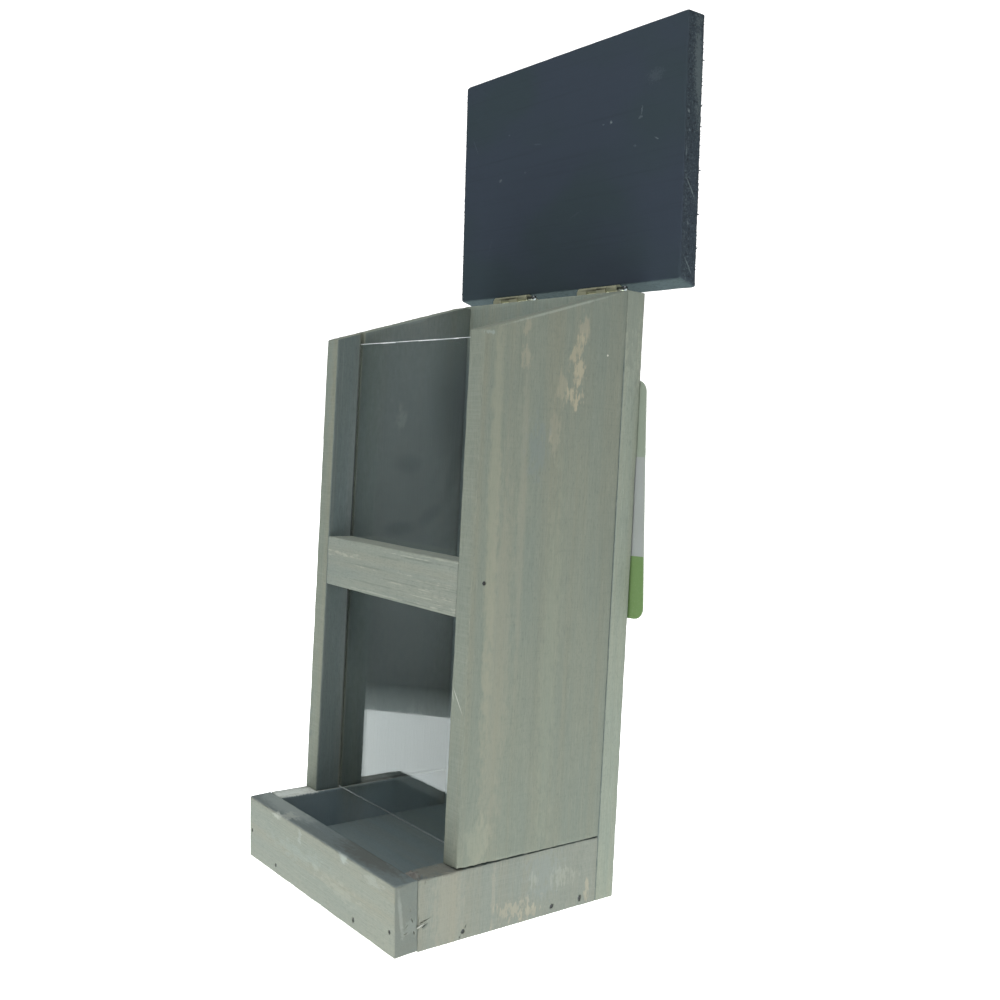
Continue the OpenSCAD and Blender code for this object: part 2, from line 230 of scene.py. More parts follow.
def pits(places, radius=1.05, depth=1.0):
    """Ragged punched holes, one for each (point on the face in mm, direction into the wood)."""
    holes = bmesh.new()
    for number, (point, into) in enumerate(places):
        aim = Vector(into).to_track_quat("Z", "Y").to_matrix().to_4x4()
        spin = Matrix.Rotation(2.4 * number, 4, "Z") @ Matrix.Diagonal(
            (1 + 0.3 * (number % 3), 1, 1, 1))
        ring = bmesh.ops.create_cone(
            holes, cap_ends=True, segments=18, radius1=radius * 1.15, radius2=radius * 0.95,
            depth=2 * depth, matrix=Matrix.Translation(Vector(point)) @ aim @ spin)
        for v in ring["verts"]:
            v.co += 0.4 * radius * noise.noise_vector(v.co * 1.7 + Vector((number, 0, 0)))
    return holes


def carved(board, cutters):
    """Cuts the shapes in a bmesh, in mm, out of a board, and keeps its crisp edges sharp."""
    bmesh.ops.scale(cutters, vec=(MM, MM, MM), verts=cutters.verts)
    bmesh.ops.recalc_face_normals(cutters, faces=cutters.faces)
    mesh = bpy.data.meshes.new(board.name + "_cutters")
    cutters.to_mesh(mesh)
    cutters.free()
    tool = bpy.data.objects.new(board.name + "_cutters", mesh)
    bpy.context.scene.collection.objects.link(tool)
    cut = board.modifiers.new("Cut", "BOOLEAN")
    cut.operation, cut.solver, cut.object = "DIFFERENCE", "MANIFOLD", tool
    result = bpy.data.meshes.new_from_object(
        board.evaluated_get(bpy.context.evaluated_depsgraph_get()))
    board.modifiers.remove(cut)
    old, board.data = board.data, result
    bpy.data.meshes.remove(old)
    bpy.data.objects.remove(tool)
    bpy.data.meshes.remove(mesh)
    result.set_sharp_from_angle(angle=math.radians(40))
    return board


def span(node):
    """A CAD node's low corner and size, in mm."""
    low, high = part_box(node)
    return np.array(low) / MM, np.array(high - low) / MM


def mounted(board, node, body="feeder_body"):
    """Puts a board in its node's place, on the body that the node rides on."""
    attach(board, body)
    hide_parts(node)
    return board


back_low, back_size = span("back_board")
board_y, rear_y = back_low[1], back_low[1] + back_size[1]
half_w, body_h = back_size[0] / 2, back_size[2]
points, toward, faces, arrised, ended = sawn_block(back_low, back_size, 2, 1.5, 2.4)
corner = np.array([-half_w, body_h])
gone = np.maximum(0, 5.5 - np.linalg.norm(points[:, [0, 2]] - corner, axis=1))
points[:, 0] += 0.42 * gone
points[:, 2] -= 0.5 * gone
back_stain = stained_pine("Grey-green stained sawn pine, back board", 2, (3.1, 1.7, 0.4), "#ebf1ed", [
    ((-half_w, rear_y - 6, body_h), (7, 9, 6), (0, 0, 0), "#b7b3a0", 0.7, 2),
    ((half_w, rear_y - 6, 300), (3, 14, 60), (0, 0, 0), "#6f776f", 0.4, 3),
    ((half_w, board_y, 150), (1.5, 0.5, 150), (0, 0, 0), "#59635c", 0.6, 1),
    ((-34, rear_y, 90), (9, 3, 70), (0, 0, 0), "#9d9a88", 0.4, 3),
    ((8, rear_y, 60), (5, 3, 40), (0, 0, 0), "#a19d8a", 0.45, 3),
    ((-12, rear_y, 250), (14, 3, 30), (0, 0, 0), "#7f8a84", 0.4, 3),
    ((24, rear_y, 12), (30, 3, 6), (0, 0, 0), "#6c746d", 0.5, 3)])
# painted shade on the board's front face inside the feeder, fading out above 262 mm where the open lid lets
# the light in
lit = 1 - 0.85 * np.clip((points[:, 2] - 262) / 20, 0, 1)
back_board = piece("back_board_dressed", points, faces, [back_stain], arris=arrised,
                   inside=lit * facing(toward, (0, -1, 0)), end_grain=ended)
back_pins = [((side * x, rear_y, z), (0, -1, 0)) for side in (-1, 1)
             for x, z in [(63.7, 18), (63.7, 66), (63.7, 150), (63.7, 240), (30.6, 6.25)]]
mounted(carved(back_board, pits(back_pins)), "back_board")

# Tray rails: two short sawn boards on edge, butted against the back board and nailed. Their front
# ends are sawn to the lean of the front board, and the right one is chipped and split there.
LEAN = math.radians(2.8)
FRONT_T = 12
front_y = -rear_y


def leaning_face(z, depth):
    """Where the front board's face (depth 0) or a plane behind it lies, at height z."""
    return front_y + depth / math.cos(LEAN) - z * math.tan(LEAN)


def cracks(lines):
    """Thin cracks to cut: each runs from start to end on a face, is widest near its start, and
    goes into the wood, all in mm."""
    cutters = bmesh.new()
    for start, end, width, into in lines:
        start, end, into = Vector(start), Vector(end), Vector(into)
        aside = (end - start).cross(into).normalized() * width / 2
        bulge = start.lerp(end, 0.35)
        banks = [[start.lerp(end, t) + sign * wide * aside
                  * (1 + 1.2 * noise.noise(start.lerp(end, t) * 2.3 + sign * aside))
                  for t, wide in ((0.1, 0.5), (0.3, 0.9), (0.45, 0.8), (0.62, 0.45), (0.82, 0.25))]
                 for sign in (1, -1)]
        outline = [start, *banks[0], end, *banks[1][::-1]]
        out = [cutters.verts.new(p - 0.5 * into.normalized()) for p in outline]
        deep = [cutters.verts.new(p.lerp(bulge, 0.5) + into) for p in outline]
        cutters.faces.new(out)
        cutters.faces.new(deep[::-1])
        for i in range(len(outline)):
            cutters.faces.new((out[i - 1], deep[i - 1], deep[i], out[i]))
    return cutters


# torn fibres, from a tree that stands one thin cone at each root, bent a little by noise
torn = bpy.data.node_groups.new("Torn wood fibres", "GeometryNodeTree")
torn.interface.new_socket("Geometry", in_out="OUTPUT", socket_type="NodeSocketGeometry")
for label, kind in [("Roots", "Geometry"), ("Finish", "Material"), ("Bend", "Float"),
                    ("Bend every", "Float")]:
    torn.interface.new_socket(label, in_out="INPUT", socket_type="NodeSocket" + kind)
given = torn.nodes.new("NodeGroupInput").outputs
cone = add(torn, "GeometryNodeMeshCone", {"Vertices": 5, "Side Segments": 3, "Radius Top": 0.0,
                                          "Radius Bottom": 1.0, "Depth": 1.0}).outputs["Mesh"]
aim, reach = (add(torn, "GeometryNodeInputNamedAttribute", {"Name": a},
                  data_type="FLOAT_VECTOR").outputs["Attribute"] for a in ("aim", "reach"))
turned = add(torn, "FunctionNodeAlignRotationToVector", {"Vector": aim}, axis="Z").outputs[0]
stood = add(torn, "GeometryNodeInstanceOnPoints",
            {"Points": given["Roots"], "Instance": cone, "Rotation": turned, "Scale": reach})
real = add(torn, "GeometryNodeRealizeInstances", {"Geometry": stood.outputs[0]}).outputs[0]
every = add(torn, "ShaderNodeMath", {0: 1.0, 1: given["Bend every"]}, operation="DIVIDE").outputs[0]
sway = add(torn, "ShaderNodeTexNoise", {"Scale": every, "Detail": 0.0}).outputs["Color"]
middled = add(torn, "ShaderNodeVectorMath", {0: sway, 1: (0.5, 0.5, 0.5)},
              operation="SUBTRACT").outputs[0]
bent = add(torn, "ShaderNodeVectorMath", {0: middled, "Scale": given["Bend"]},
           operation="SCALE").outputs[0]
moved = add(torn, "GeometryNodeSetPosition", {"Geometry": real, "Offset": bent}).outputs[0]
dressed = add(torn, "GeometryNodeSetMaterial", {"Geometry": moved, "Material": given["Finish"]})
torn.links.new(dressed.outputs[0], torn.nodes.new("NodeGroupOutput").inputs[0])


def grown(tree, places, vectors, values):
    """The plain mesh that a node tree grows on points in mm, with vectors stored on them."""
    mesh = bpy.data.meshes.new(tree.name)
    mesh.from_pydata([[c * MM for c in p] for p in places], [], [])
    for label, rows in vectors.items():
        mesh.attributes.new(label, "FLOAT_VECTOR", "POINT").data.foreach_set(
            "vector", np.asarray(rows, np.float32).ravel())
    holder = bpy.data.objects.new(tree.name, mesh)
    bpy.context.scene.collection.objects.link(holder)
    grow = holder.modifiers.new(tree.name, "NODES")
    grow.node_group = tree
    for socket in tree.interface.items_tree:
        if socket.name in values:
            grow[socket.identifier] = values[socket.name]
    result = bpy.data.meshes.new_from_object(
        holder.evaluated_get(bpy.context.evaluated_depsgraph_get()))
    bpy.data.objects.remove(holder)
    bpy.data.meshes.remove(mesh)
    return result


def frayed(board, roots):
    """Stands torn fibres on a board, each from a (root, direction, half width, length) in mm."""
    where, aims, widths, lengths = zip(*roots)
    fibres = grown(torn, where, {"aim": aims, "reach": [(w * MM, w * MM, n * MM)
                                                        for w, n in zip(widths, lengths)]},
                   {"Finish": board.data.materials[0], "Bend": 0.5 * MM, "Bend every": 1.5 * MM})
    both = bmesh.new()
    both.from_mesh(board.data)
    both.from_mesh(fibres)
    for face in both.faces:
        face.material_index = 0
    both.to_mesh(board.data)
    both.free()
    bpy.data.meshes.remove(fibres)
    return board


rail_marks = [
    ((half_w, -37, 16), (3, 12, 30), (0, 0, 0), "#9c9989", 0.35, 2),
    ((half_w, -12, 16), (3, 1.5, 30), (0, 0, 0), "#9c9989", 0.4, 3),
    ((half_w, 18, 20), (3, 14, 14), (0, 0, 0), "#858e8a", 0.45, 4),
    ((half_w, 1.5, 7), (3, 11, 4.5), (0, 0, 0), "#a5a08d", 0.55, 6),
    ((half_w, 10, 4), (3, 7, 3), (0, 0, 0), "#a5a08d", 0.5, 6),
    ((half_w, 46, 7), (3, 2, 7), (0, 0, 0), "#a8a28e", 0.65, 3),
    ((half_w, 30, 17), (3, 8, 5), (0, 0, 0), "#a3a698", 0.35, 5),
    ((half_w, 12, 18), (3, 3, 4), (0, 0, 0), "#a3a698", 0.35, 5),
    ((70.3, -52, 11.9), (0.75, 3.6, 2.4), (0, 0, 0), "#c9ccc5", 0.95, 0),
    # a painted shadow below and right of the splinter
    ((half_w, -49.3, 11), (2, 2.2, 1.2), (25, 0, 0), "#5d655f", 0.6, 2),
    ((63, -40, 32), (14, 22, 1.5), (0, 0, 0), "#74746a", 0.75, 3),
    ((61, -52, 30.5), (9, 3, 3.5), (0, 0, 0), "#94918a", 0.8, 1.5),
    ((61, -52, 30.5), (8, 3, 3), (0, 0, 0), "#55544f", 0.5, 5)]
# on the left rail's inner face the first mark is painted light behind the pane and the second painted shade
# in front of it; the others are a dark joint and rubbed pale wear
left_rail_wear_light_and_shade = [((-57.5, 18, 16), (2, 42, 30), (0, 0, 0), "#9dafba", 0.6, 0.3),
             ((-57.5, -35, 16), (2, 38, 30), (0, 0, 0), "#7b8c94", 0.6, 0.3),
             ((-57.5, 18, 32.6), (2.5, 37, 1.3), (0, 0, 0), "#2b3335", 0.85, 0.3),
             ((-63, -46, 32.6), (9, 26, 1.7), (0, 0, 0), "#cfd5d0", 0.9, 0.8),
             ((-60, -38, 32.6), (6, 12, 1.7), (0, 0, 0), "#d0d4cd", 0.6, 2)]
for side, node in ((-1, "left_tray_rail"), (1, "right_tray_rail")):
    low, size = span(node)
    points, toward, faces, arrised, ended = sawn_block(low, size, 2, 0.8, 1.2, wear=0.7)
    back = (points[:, 1] - low[1]) / size[1]
    points[:, 1] = board_y - (1 - back) * (board_y - leaning_face(points[:, 2], FRONT_T))
    rail_top = size[2] + low[2]
    if side > 0:
        chip = np.array([half_w - size[0] + 4, -53.5, rail_top])
        away = np.linalg.norm((points - chip) / (8, 3.4, 3.0), axis=1)
        ragged = np.array([noise.noise(Vector(p) / 0.9) + noise.noise(Vector(p) / 2.4)
                           for p in points])
        points[:, 2] -= 2.6 * np.clip(1 - away + 0.6 * ragged, 0, 1) * (away < 1.5)
        points[:, 2] -= 0.6 * np.clip(ragged, 0, 1) * facing(toward, (0, 0, 1))
    stain = stained_pine("Grey-green stained sawn pine, " + node.replace("_", " "), 2,
                         (side * 5.3, 0.9, 2.2), "#dbdddd", rail_marks if side > 0 else left_rail_wear_light_and_shade)
    hidden = (side < 0) * facing(toward, (0.7, 0, 0.7)) * (points[:, 1] > -18)
    # painted shade on the right rail's top, and on the left rail's inner face in front of the pane
    rail = piece(node + "_dressed", points, faces, [stain], arris=arrised * (1 - hidden),
                 inside=facing(toward, (0, 0, 1)) if side > 0 else facing(toward, (1, 0, 0))
                 * np.clip(-(points[:, 1] + 16) / 6, 0, 1),
                 end_grain=ended if side > 0 else 0 * ended,
                 sawn_edge=facing(toward, (side, 0, 0)))
    if side > 0:
        carved(rail, cracks([
            ((half_w, -52.6, 12.6), (half_w, -45.4, 14.4), 0.8, (-2.4, 0, 0)),
            ((half_w, -51.2, 10.4), (half_w, -47.2, 12.4), 0.8, (-1.6, 0, 0)),
            ((half_w, -30.4, 0.9), (half_w, -29.2, 2.4), 0.8, (-1.2, 0, 0)),
            ((half_w, -27.4, 4.9), (half_w, -26.2, 7.0), 0.7, (-1.2, 0, 0))]))
        frayed(rail, [((half_w + 0.05, -53.6, 10.9), (0.08, 0.9, 0.42), 0.5, 4.6),
                      ((half_w - 0.2, -50.6, 13.4), (0.08, 0.9, -0.5), 0.2, 2.6)])
    floor_pins = [((side * half_w, y, 3.75), (-side, 0, 0)) for y in (-28.35, 24.15, 42)]
    mounted(carved(rail, pits(floor_pins)), node)

# Tray front board: a sawn board across the rails' ends, leaning out a little at its top. Its top
# arris is rubbed pale, and its right end is split where a pin was driven too near the edge.
FRONT_H = 31.5
points, toward, faces, arrised, ended = sawn_block(
    (-half_w, 0, 0), (2 * half_w, FRONT_T, FRONT_H), 0, 0.9, 1.5, wear=0.75)
topped, behind = facing(toward, (0, 0, 1)), facing(toward, (0, 1, 0))
tipped = Matrix.Rotation(LEAN, 3, "X")
points = points @ np.array(tipped).T + (0, front_y, 0)
front_stain = stained_pine(
    "Grey-green stained sawn pine, front board", 0, (0.6, 4.4, 1.3), "#e0e1df", [
        ((-39.4, -66, 30.4), (5, 3, 1.8), (0, 0, 0), "#b6bab0", 0.55, 3),
        ((-31.2, -63, 31.8), (7, 5, 1.2), (0, 0, 0), "#a9ada4", 0.6, 3),
        ((-15.2, -66, 27), (2, 3, 5), (0, 0, 0), "#a2aaa4", 0.3, 5),
        ((25.8, -66, 29.4), (6, 3, 2.8), (0, 0, 0), "#aeb8b4", 0.45, 3),
        ((52, -66, 27.5), (9, 3, 3), (0, 0, 0), "#a5aba2", 0.3, 3),
        ((-45, -58, 32), (40, 9, 1.5), (0, 0, 0), "#a0a8a2", 0.5, 0.8),
        ((36, -58, 32), (36, 9, 1.5), (0, 0, 0), "#53554f", 0.7, 1.5),
        ((20, -66, 14), (24, 3, 4), (0, 4, 0), "#9ea093", 0.3, 5),
        ((-20, -66, 18), (30, 3, 5), (0, -3, 0), "#8f9b94", 0.3, 3),
        ((half_w, -62.4, 19), (3, 1.3, 14), (9, 0, 0), "#989e96", 0.45, 1),
        ((half_w, -56, 16), (3, 3, 14), (0, 0, 0), "#6b726d", 0.5, 6),
        ((half_w, -56.5, 12), (2, 5, 4), (30, 0, 0), "#99a098", 0.25, 4),
        ((half_w, leaning_face(15, FRONT_T), 15), (1.5, 0.8, 24), (math.degrees(LEAN), 0, 0),
         "#565e59", 0.7, 1.2)])
# painted shade on the board's top and back faces
front_board = piece("tray_front_board_dressed", points, faces, [front_stain], arris=arrised,
                    inside=np.maximum(behind, topped), end_grain=ended)
carved(front_board, cracks([
    ((half_w, -56.9, 16.6), (half_w, -55.2, 12.9), 0.7, (-2.0, 0, 0)),
    ((half_w, -55.2, 10.4), (half_w, -54.3, 7.2), 0.7, (-1.6, 0, 0)),
    ((half_w, -59.5, 11.9), (half_w, -57.7, 14.3), 0.55, (-1.2, 0, 0)),
    ((half_w, -60.4, 9.6), (half_w, -57.2, 10.2), 0.45, (-1.0, 0, 0)),
    ((half_w, -57.6, 18.4), (half_w, -57.0, 21.5), 0.4, (-1.0, 0, 0))]))
frayed(front_board, [((half_w - 0.2, -55.6, 13.2), (0.15, 0.5, 0.8), 0.2, 1.5),
                     ((half_w - 0.2, -57.2, 11.2), (0.2, -0.6, 0.5), 0.18, 1.2),
                     ((half_w - 0.2, -54.8, 8.6), (0.2, 0.3, -0.9), 0.18, 1.3)])
front_pins = [((x, leaning_face(z, 0), z), (0, 1, 0))
              for x, z in [(-66.7, 14.2), (-40.3, 4.4), (35.4, 4.4), (65.5, 10.4)]]
mounted(carved(front_board, pits(front_pins, 0.9)), "tray_front_board")

# Tray floor: a pine board between the rails, stained the same, with its colour darkened and cooled as
# painted shade for the depth of the tray.
low, size = span("tray_floor")
points, toward, faces, arrised, ended = sawn_block(low, size, 0, 1.6, 2.4, arris=0.5)
back = (points[:, 1] - low[1]) / size[1]
points[:, 1] = board_y - (1 - back) * (board_y - leaning_face(points[:, 2], FRONT_T))
floor_stain = stained_pine("Stained pine with painted shade, tray floor", 0, (7.7, 0.2, 5.1), "#bccbdb", [
    ((52, 6, 7.5), (5, 3, 2), (0, 0, 20), "#3a4143", 0.6, 4)])
tray_floor = piece("tray_floor_dressed", points, faces, [floor_stain])
mounted(tray_floor, "tray_floor")

# Side panels: two boards on end, standing on the rails, with their tops sawn to the lid's slope
# and a groove sawn down each inner face for the pane. Handling has rubbed the right one bare.
groove_y, GROOVE_W, GROOVE_D = -19.5, 2.3, 3
panel_marks = [
    ((half_w, 25.5, 279), (3, 4.4, 8), (-10, 0, 0), "#9f9a86", 0.55, 3),
    ((half_w, 21.8, 268), (3, 3.6, 9), (-22, 0, 0), "#a8a189", 0.6, 3),
    ((half_w, 23.5, 258), (3, 3.8, 8), (0, 0, 0), "#ada58d", 0.7, 3),
    ((half_w, 20.5, 245), (3, 6, 5.4), (0, 0, 0), "#ada58d", 0.7, 4),
    ((half_w, 13.5, 250), (3, 3.4, 9), (0, 0, 0), "#9c9883", 0.45, 3),
    ((half_w, 10, 229), (3, 4, 12), (0, 0, 0), "#949280", 0.4, 4),
    ((half_w, -9, 261), (3, 4, 6), (0, 0, 0), "#9a9682", 0.5, 4),
    ((half_w, -9.5, 276), (3, 2.6, 6), (0, 0, 0), "#9a9682", 0.45, 4),
    ((half_w, 8, 225), (3, 1.8, 4), (0, 0, 0), "#999682", 0.5, 3),
    ((half_w, 0.4, 222), (3, 8, 16), (0, 0, 0), "#77817f", 0.4, 4),
    ((half_w, 41.2, 267.2), (1, 0.7, 0.7), (0, 0, 0), "#d3d2c4", 0.9, 0.1),
    ((half_w, -23.5, 190), (3, 4.6, 150), (1, 0, 0), "#949581", 0.45, 1.2),
    ((half_w, -7, 190), (3, 3.2, 110), (1, 0, 0), "#909181", 0.35, 1.2),
    ((half_w, -17, 120), (3, 10, 120), (0, 0, 0), "#949382", 0.35, 1.5),
    ((half_w, board_y, 160), (1.5, 0.5, 150), (0, 0, 0), "#59635c", 0.6, 1),
    ((half_w, -23, 42), (3, 9, 14), (0, 0, 0), "#979a88", 0.35, 2),
    ((half_w, 14, 120), (3, 7, 110), (0, 0, 0), "#8d9381", 0.3, 2.5),
    ((half_w, -29.5, 271.5), (2, 3.5, 1.2), (0, 0, 0), "#a3b2ac", 0.35, 4),
    # a pale line under the sloping top arris, a painted highlight
    ((half_w, 9.5, body_h - 14.4), (1.5, 45, 0.8), (17.7, 0, 0), "#a9b1a6", 0.4, 1),
    ((63.4, -33.5, 107), (0.42, 3, 8.5), (0, -36, 0), "#b6b9ad", 0.8, 0.5),
    ((59.6, -33.5, 109), (0.4, 3, 4), (0, -18, 0), "#b0b4a8", 0.6, 0.5)]
left_marks = [((-half_w, 4, 150), (3, 5, 90), (0, 0, 0), "#9b9886", 0.4, 3),
              ((-half_w, 34, 230), (3, 6, 20), (0, 0, 0), "#a5a089", 0.5, 4),
              ((-half_w, -22, 60), (3, 8, 24), (0, 0, 0), "#929483", 0.35, 3),
              ((-69, -33.5, 66), (4, 3, 22), (0, 0, 0), "#6e7771", 0.6, 4),
              ((-66, -33.5, 250), (5, 3, 30), (0, 0, 0), "#77847f", 0.35, 3),
              # the next three marks on the inner face are painted light behind the pane, painted shade up at
              # its back, and a painted shadow along the groove
              ((-57.5, 18, 166), (3, 55, 200), (0, 0, 0), "#b9c3c6", 0.5, 0.2),
              ((-57.5, 62, 246), (3, 42, 58), (0, 0, 0), "#646e6e", 0.85, 0.2),
              ((-57.5, groove_y - 0.2, 166), (2.5, 0.9, 200), (0, 0, 0), "#2b3335", 0.9, 0.3),
              ((-57.5, 18, 32.6), (2.5, 37, 1.6), (0, 0, 0), "#2b3335", 0.85, 0.3),
              ((-57.5, 10, 233), (3, 4, 8), (0, 0, 0), "#c3cac8", 0.3, 2),
              ((-57.5, 12, 172), (3, 15, 6), (4, 0, 0), "#49524f", 0.25, 0.4),
              ((-57.5, 33, 180), (3, 15, 6), (35, 0, 0), "#49524f", 0.15, 0.4),
              ((-57.5, 47, 204), (3, 6, 24), (-12, 0, 0), "#49524f", 0.25, 0.4),
              ((-57.5, 16, 208), (3, 14, 8), (0, 0, 0), "#49524f", 0.2, 0.6)]
for side, node in ((-1, "left_side_panel"), (1, "right_side_panel")):
    low, size = span(node)
    rise = 27.5 / size[1]
    points, toward, faces, arrised, ended = sawn_block(low, size, 2, 1.5, 2.2, rough=0.16)
    up = (points[:, 2] - low[2]) / size[2]
    drop = (board_y - points[:, 1]) * rise
    points[:, 2] -= up * drop
    if side < 0:
        corner = np.array([board_y, body_h])
        gone = np.maximum(0, 4 - np.linalg.norm(points[:, 1:] - corner, axis=1))
        points[:, 2] -= 0.4 * gone
    else:
        foot = np.clip(1 - (points[:, 2] - low[2]) / 2.5, 0, 1)
        near = np.clip(1 - (half_w - points[:, 0]) / 9, 0, 1) * (
            0.2 + 0.9 * np.exp(-(points[:, 1] - low[1]) / 20))
        for i in np.nonzero(foot * near)[0]:
            chewed = noise.noise(Vector(points[i]) / 1.3) + 0.7 * noise.noise(Vector(points[i]) / 4)
            points[i, 2] += foot[i] * near[i] * max(0, 0.75 + 0.5 * chewed)
    # painted shade on each panel's inner face; on the left one it is only 40 % as strong behind the pane
    deep = 1 - 0.6 * np.clip((points[:, 1] - groove_y) / 8, 0, 1)
    stain = stained_pine("Grey-green stained sawn pine, " + node.replace("_", " "), 2,
                         (side * 2.9, 6.1, side * 0.7), "#d2d6d1",
                         panel_marks if side > 0 else left_marks)
    hidden = (side < 0) * facing(toward, (0.7, 0, -0.7)) * (points[:, 2] < low[2] + 3)
    panel = piece(node + "_dressed", points, faces, [stain], arris=arrised * (1 - hidden),
                  inside=facing(toward, (-side, 0, 0)) * (1 if side > 0 else deep),
                  end_grain=0.1 * ended,
                  sawn_edge=facing(toward, (0, -1, 0)))
    carved(panel, pits([((side * half_w, -26.5, 159.8), (-side, 0, 0))]))
    groove = bmesh.new()
    bmesh.ops.create_cube(groove, size=1, matrix=Matrix.Translation(
        (side * (half_w - size[0]), groove_y + GROOVE_W / 2, body_h / 2)) @ Matrix.Diagonal(
        (2 * GROOVE_D, GROOVE_W, 2 * body_h, 1)))
    mounted(carved(panel, groove), node)

# Cross slat: a rough-sawn batten let in between the panels in front of the pane. The saw has left
# ridges along it, and the stain has worn off their crests.
low, size = span("cross_slat")
points, toward, faces, arrised, ended = sawn_block(low, size, 0, 0.5, 1.2, wear=0.5)
crest = np.array([noise.noise(Vector((p[0] / 90, p[1] / 1.4, p[2] / 1.4)))
                  + 0.5 * noise.noise(Vector((p[0] / 30, p[1] / 0.6, p[2] / 0.6)))
                  for p in points])
points += toward * ((0.17 * crest - 0.19) * (1 - ended))[:, None]
slat_random = random.Random(3)
saw_lines = [((slat_random.uniform(-40, 60), low[1], slat_random.uniform(low[2], low[2] + size[2])),
              (slat_random.uniform(8, 34), 2, slat_random.uniform(0.2, 0.5)), (0, 0, 0),
              tint, 0.5, 3) for tint in 12 * ("#6c736b",) + 5 * ("#a6aa9b",)]
slat_stain = stained_pine("Grey-green stained rough-sawn pine, slat", 0, (1.9, 3.3, 8.1), "#e0e4e4",
                          saw_lines)
# painted shade on the slat's back face
slat = piece("cross_slat_dressed", points, faces, [slat_stain],
             arris=np.maximum(arrised, np.clip(2.5 * crest, 0, 1) * facing(toward, (0, -1, 0))),
             inside=facing(toward, (0, 1, 0)),
             end_grain=ended)
mounted(slat, "cross_slat")

# Pane: 2 mm clear cast acrylic, sawn to size and slid down the grooves. Its faces are glossy with
# a few fine scratches and smears, and its sawn edges are frosted and catch the light.
low, size = span("acrylic_pane")
points, toward, faces, arrised, ended = sawn_block(low, size, 2, 1.0, 6.0, arris=0.45, wear=0,
                                                   rough=0, wave=0)
acrylic = bpy.data.materials.new("Clear cast acrylic, lightly scratched")
acrylic.use_nodes = True
tree = acrylic.node_tree
shader = tree.nodes["Principled BSDF"]
shader.inputs["Base Color"].default_value = linear("#f2f7f7")
shader.inputs["Transmission Weight"].default_value = 1.0
shader.inputs["IOR"].default_value = 1.49
wipes = patterns(tree, 2, (0.3, 0.8, 4.0), {"smear": (14, 60, 2), "hair": (0.5, 24, 1)})
dull = add(tree, "ShaderNodeMapRange", {"Value": wipes["smear"], "From Min": 0.5, "From Max": 0.75,
                                        "To Min": 0.015, "To Max": 0.06}).outputs[0]
scratched = add(tree, "ShaderNodeMapRange", {"Value": wipes["hair"], "From Min": 0.72,
                                             "From Max": 0.8, "To Max": 0.12}).outputs[0]
tree.links.new(add(tree, "ShaderNodeMath", {0: dull, 1: scratched}, operation="ADD").outputs[0],
               shader.inputs["Roughness"])
cut_acrylic = bpy.data.materials.new("Sawn acrylic edge, frosted")
cut_acrylic.use_nodes = True
tree = cut_acrylic.node_tree
shader = tree.nodes["Principled BSDF"]
shader.inputs["Roughness"].default_value = 0.6
shader.inputs["IOR"].default_value = 1.49
saw = patterns(tree, 0, (0, 0, 0), {"tooth": (0.5, 0.9, 2), "nick": (9, 14, 2)})
colour = coated(tree, linear("#dfe6e5"), [(saw["tooth"], 0.4, 0.6, 0.8, "#fbfdfd"),
                                          (saw["nick"], 0.5, 0.62, 0.6, "#98a5a5")])
tree.links.new(marked(tree, colour, saw["place"], saw["nick"], [
    ((0, groove_y + 1, low[2]), (90, 5, 3), (0, 0, 0), "#56605f", 0.85, 0.3)]),
               shader.inputs["Base Color"])
pane = piece("acrylic_pane_dressed", points, faces, [acrylic, cut_acrylic])
for face in pane.data.polygons:
    face.material_index = int(abs(face.normal.y) < 0.985)
pane.data.set_sharp_from_angle(angle=math.radians(3))
pane.visible_shadow = False
mounted(pane, "acrylic_pane", "pane")

# Lid: a wider board painted dark slate blue, its hinged edge sawn upright to meet the back board.
# Its sawn ends are torn and furry, and the paint has small pale knocks and scratches.
LID_OPEN, SLOPE = math.radians(106), math.atan2(27.5, 86)
HINGE = np.array([0, 66.8, 304])
LID_W, LID_L, LID_T, LID_CORNER = 178, 128, 11, 1.5


def from_hinge(points):
    """Turns points drawn round the hinge axis with the lid closed to where it stands open."""
    return points @ np.array(Matrix.Rotation(-LID_OPEN, 3, "X")).T + HINGE


def lid_place(points):
    """Points (across, from the hinged edge, up from the underside) of the lid, where it stands."""
    along = np.array([0, -math.cos(SLOPE), -math.sin(SLOPE)])
    up = np.array([0, -math.sin(SLOPE), math.cos(SLOPE)])
    under = np.array([0, -2.3, 0.3 / math.cos(SLOPE) + 12 * math.tan(SLOPE) - 4])
    local = under + points[:, 1:2] * along + points[:, 2:3] * up
    local[:, 0] = points[:, 0]
    return from_hinge(local)


points, toward, faces, arrised, ended = sawn_block(
    (-LID_W / 2, 0, 0), (LID_W, LID_L, LID_T), 0, 0.8, 1.7, arris=0.7, wear=0.6, rough=0.3)
for sign in (-1, 1):
    for far in (0, LID_L):
        toward_corner = np.array([sign, 1 if far else -1])
        centre = np.array([sign * LID_W / 2, far]) - LID_CORNER * toward_corner
        out = (points[:, :2] - centre) * toward_corner
        most = out.max(1)
        turn = np.where(out.min(1) > 0, most / np.maximum(1e-6, np.linalg.norm(out, axis=1)), 1)
        points[:, :2] = centre + out * turn[:, None] * toward_corner
hinged_edge = facing(toward, (0, -1, 0))
points[:, 1] -= points[:, 2] * math.tan(SLOPE) * (1 - points[:, 1] / LID_L)
lid_axes = Matrix(lid_place(np.array([[1.0, 0, 0], [0, 1, 0], [0, 0, -1]]))
                  - lid_place(np.zeros((3, 3)))).transposed()
RIGHT = LID_W / 2
lid_marks = []
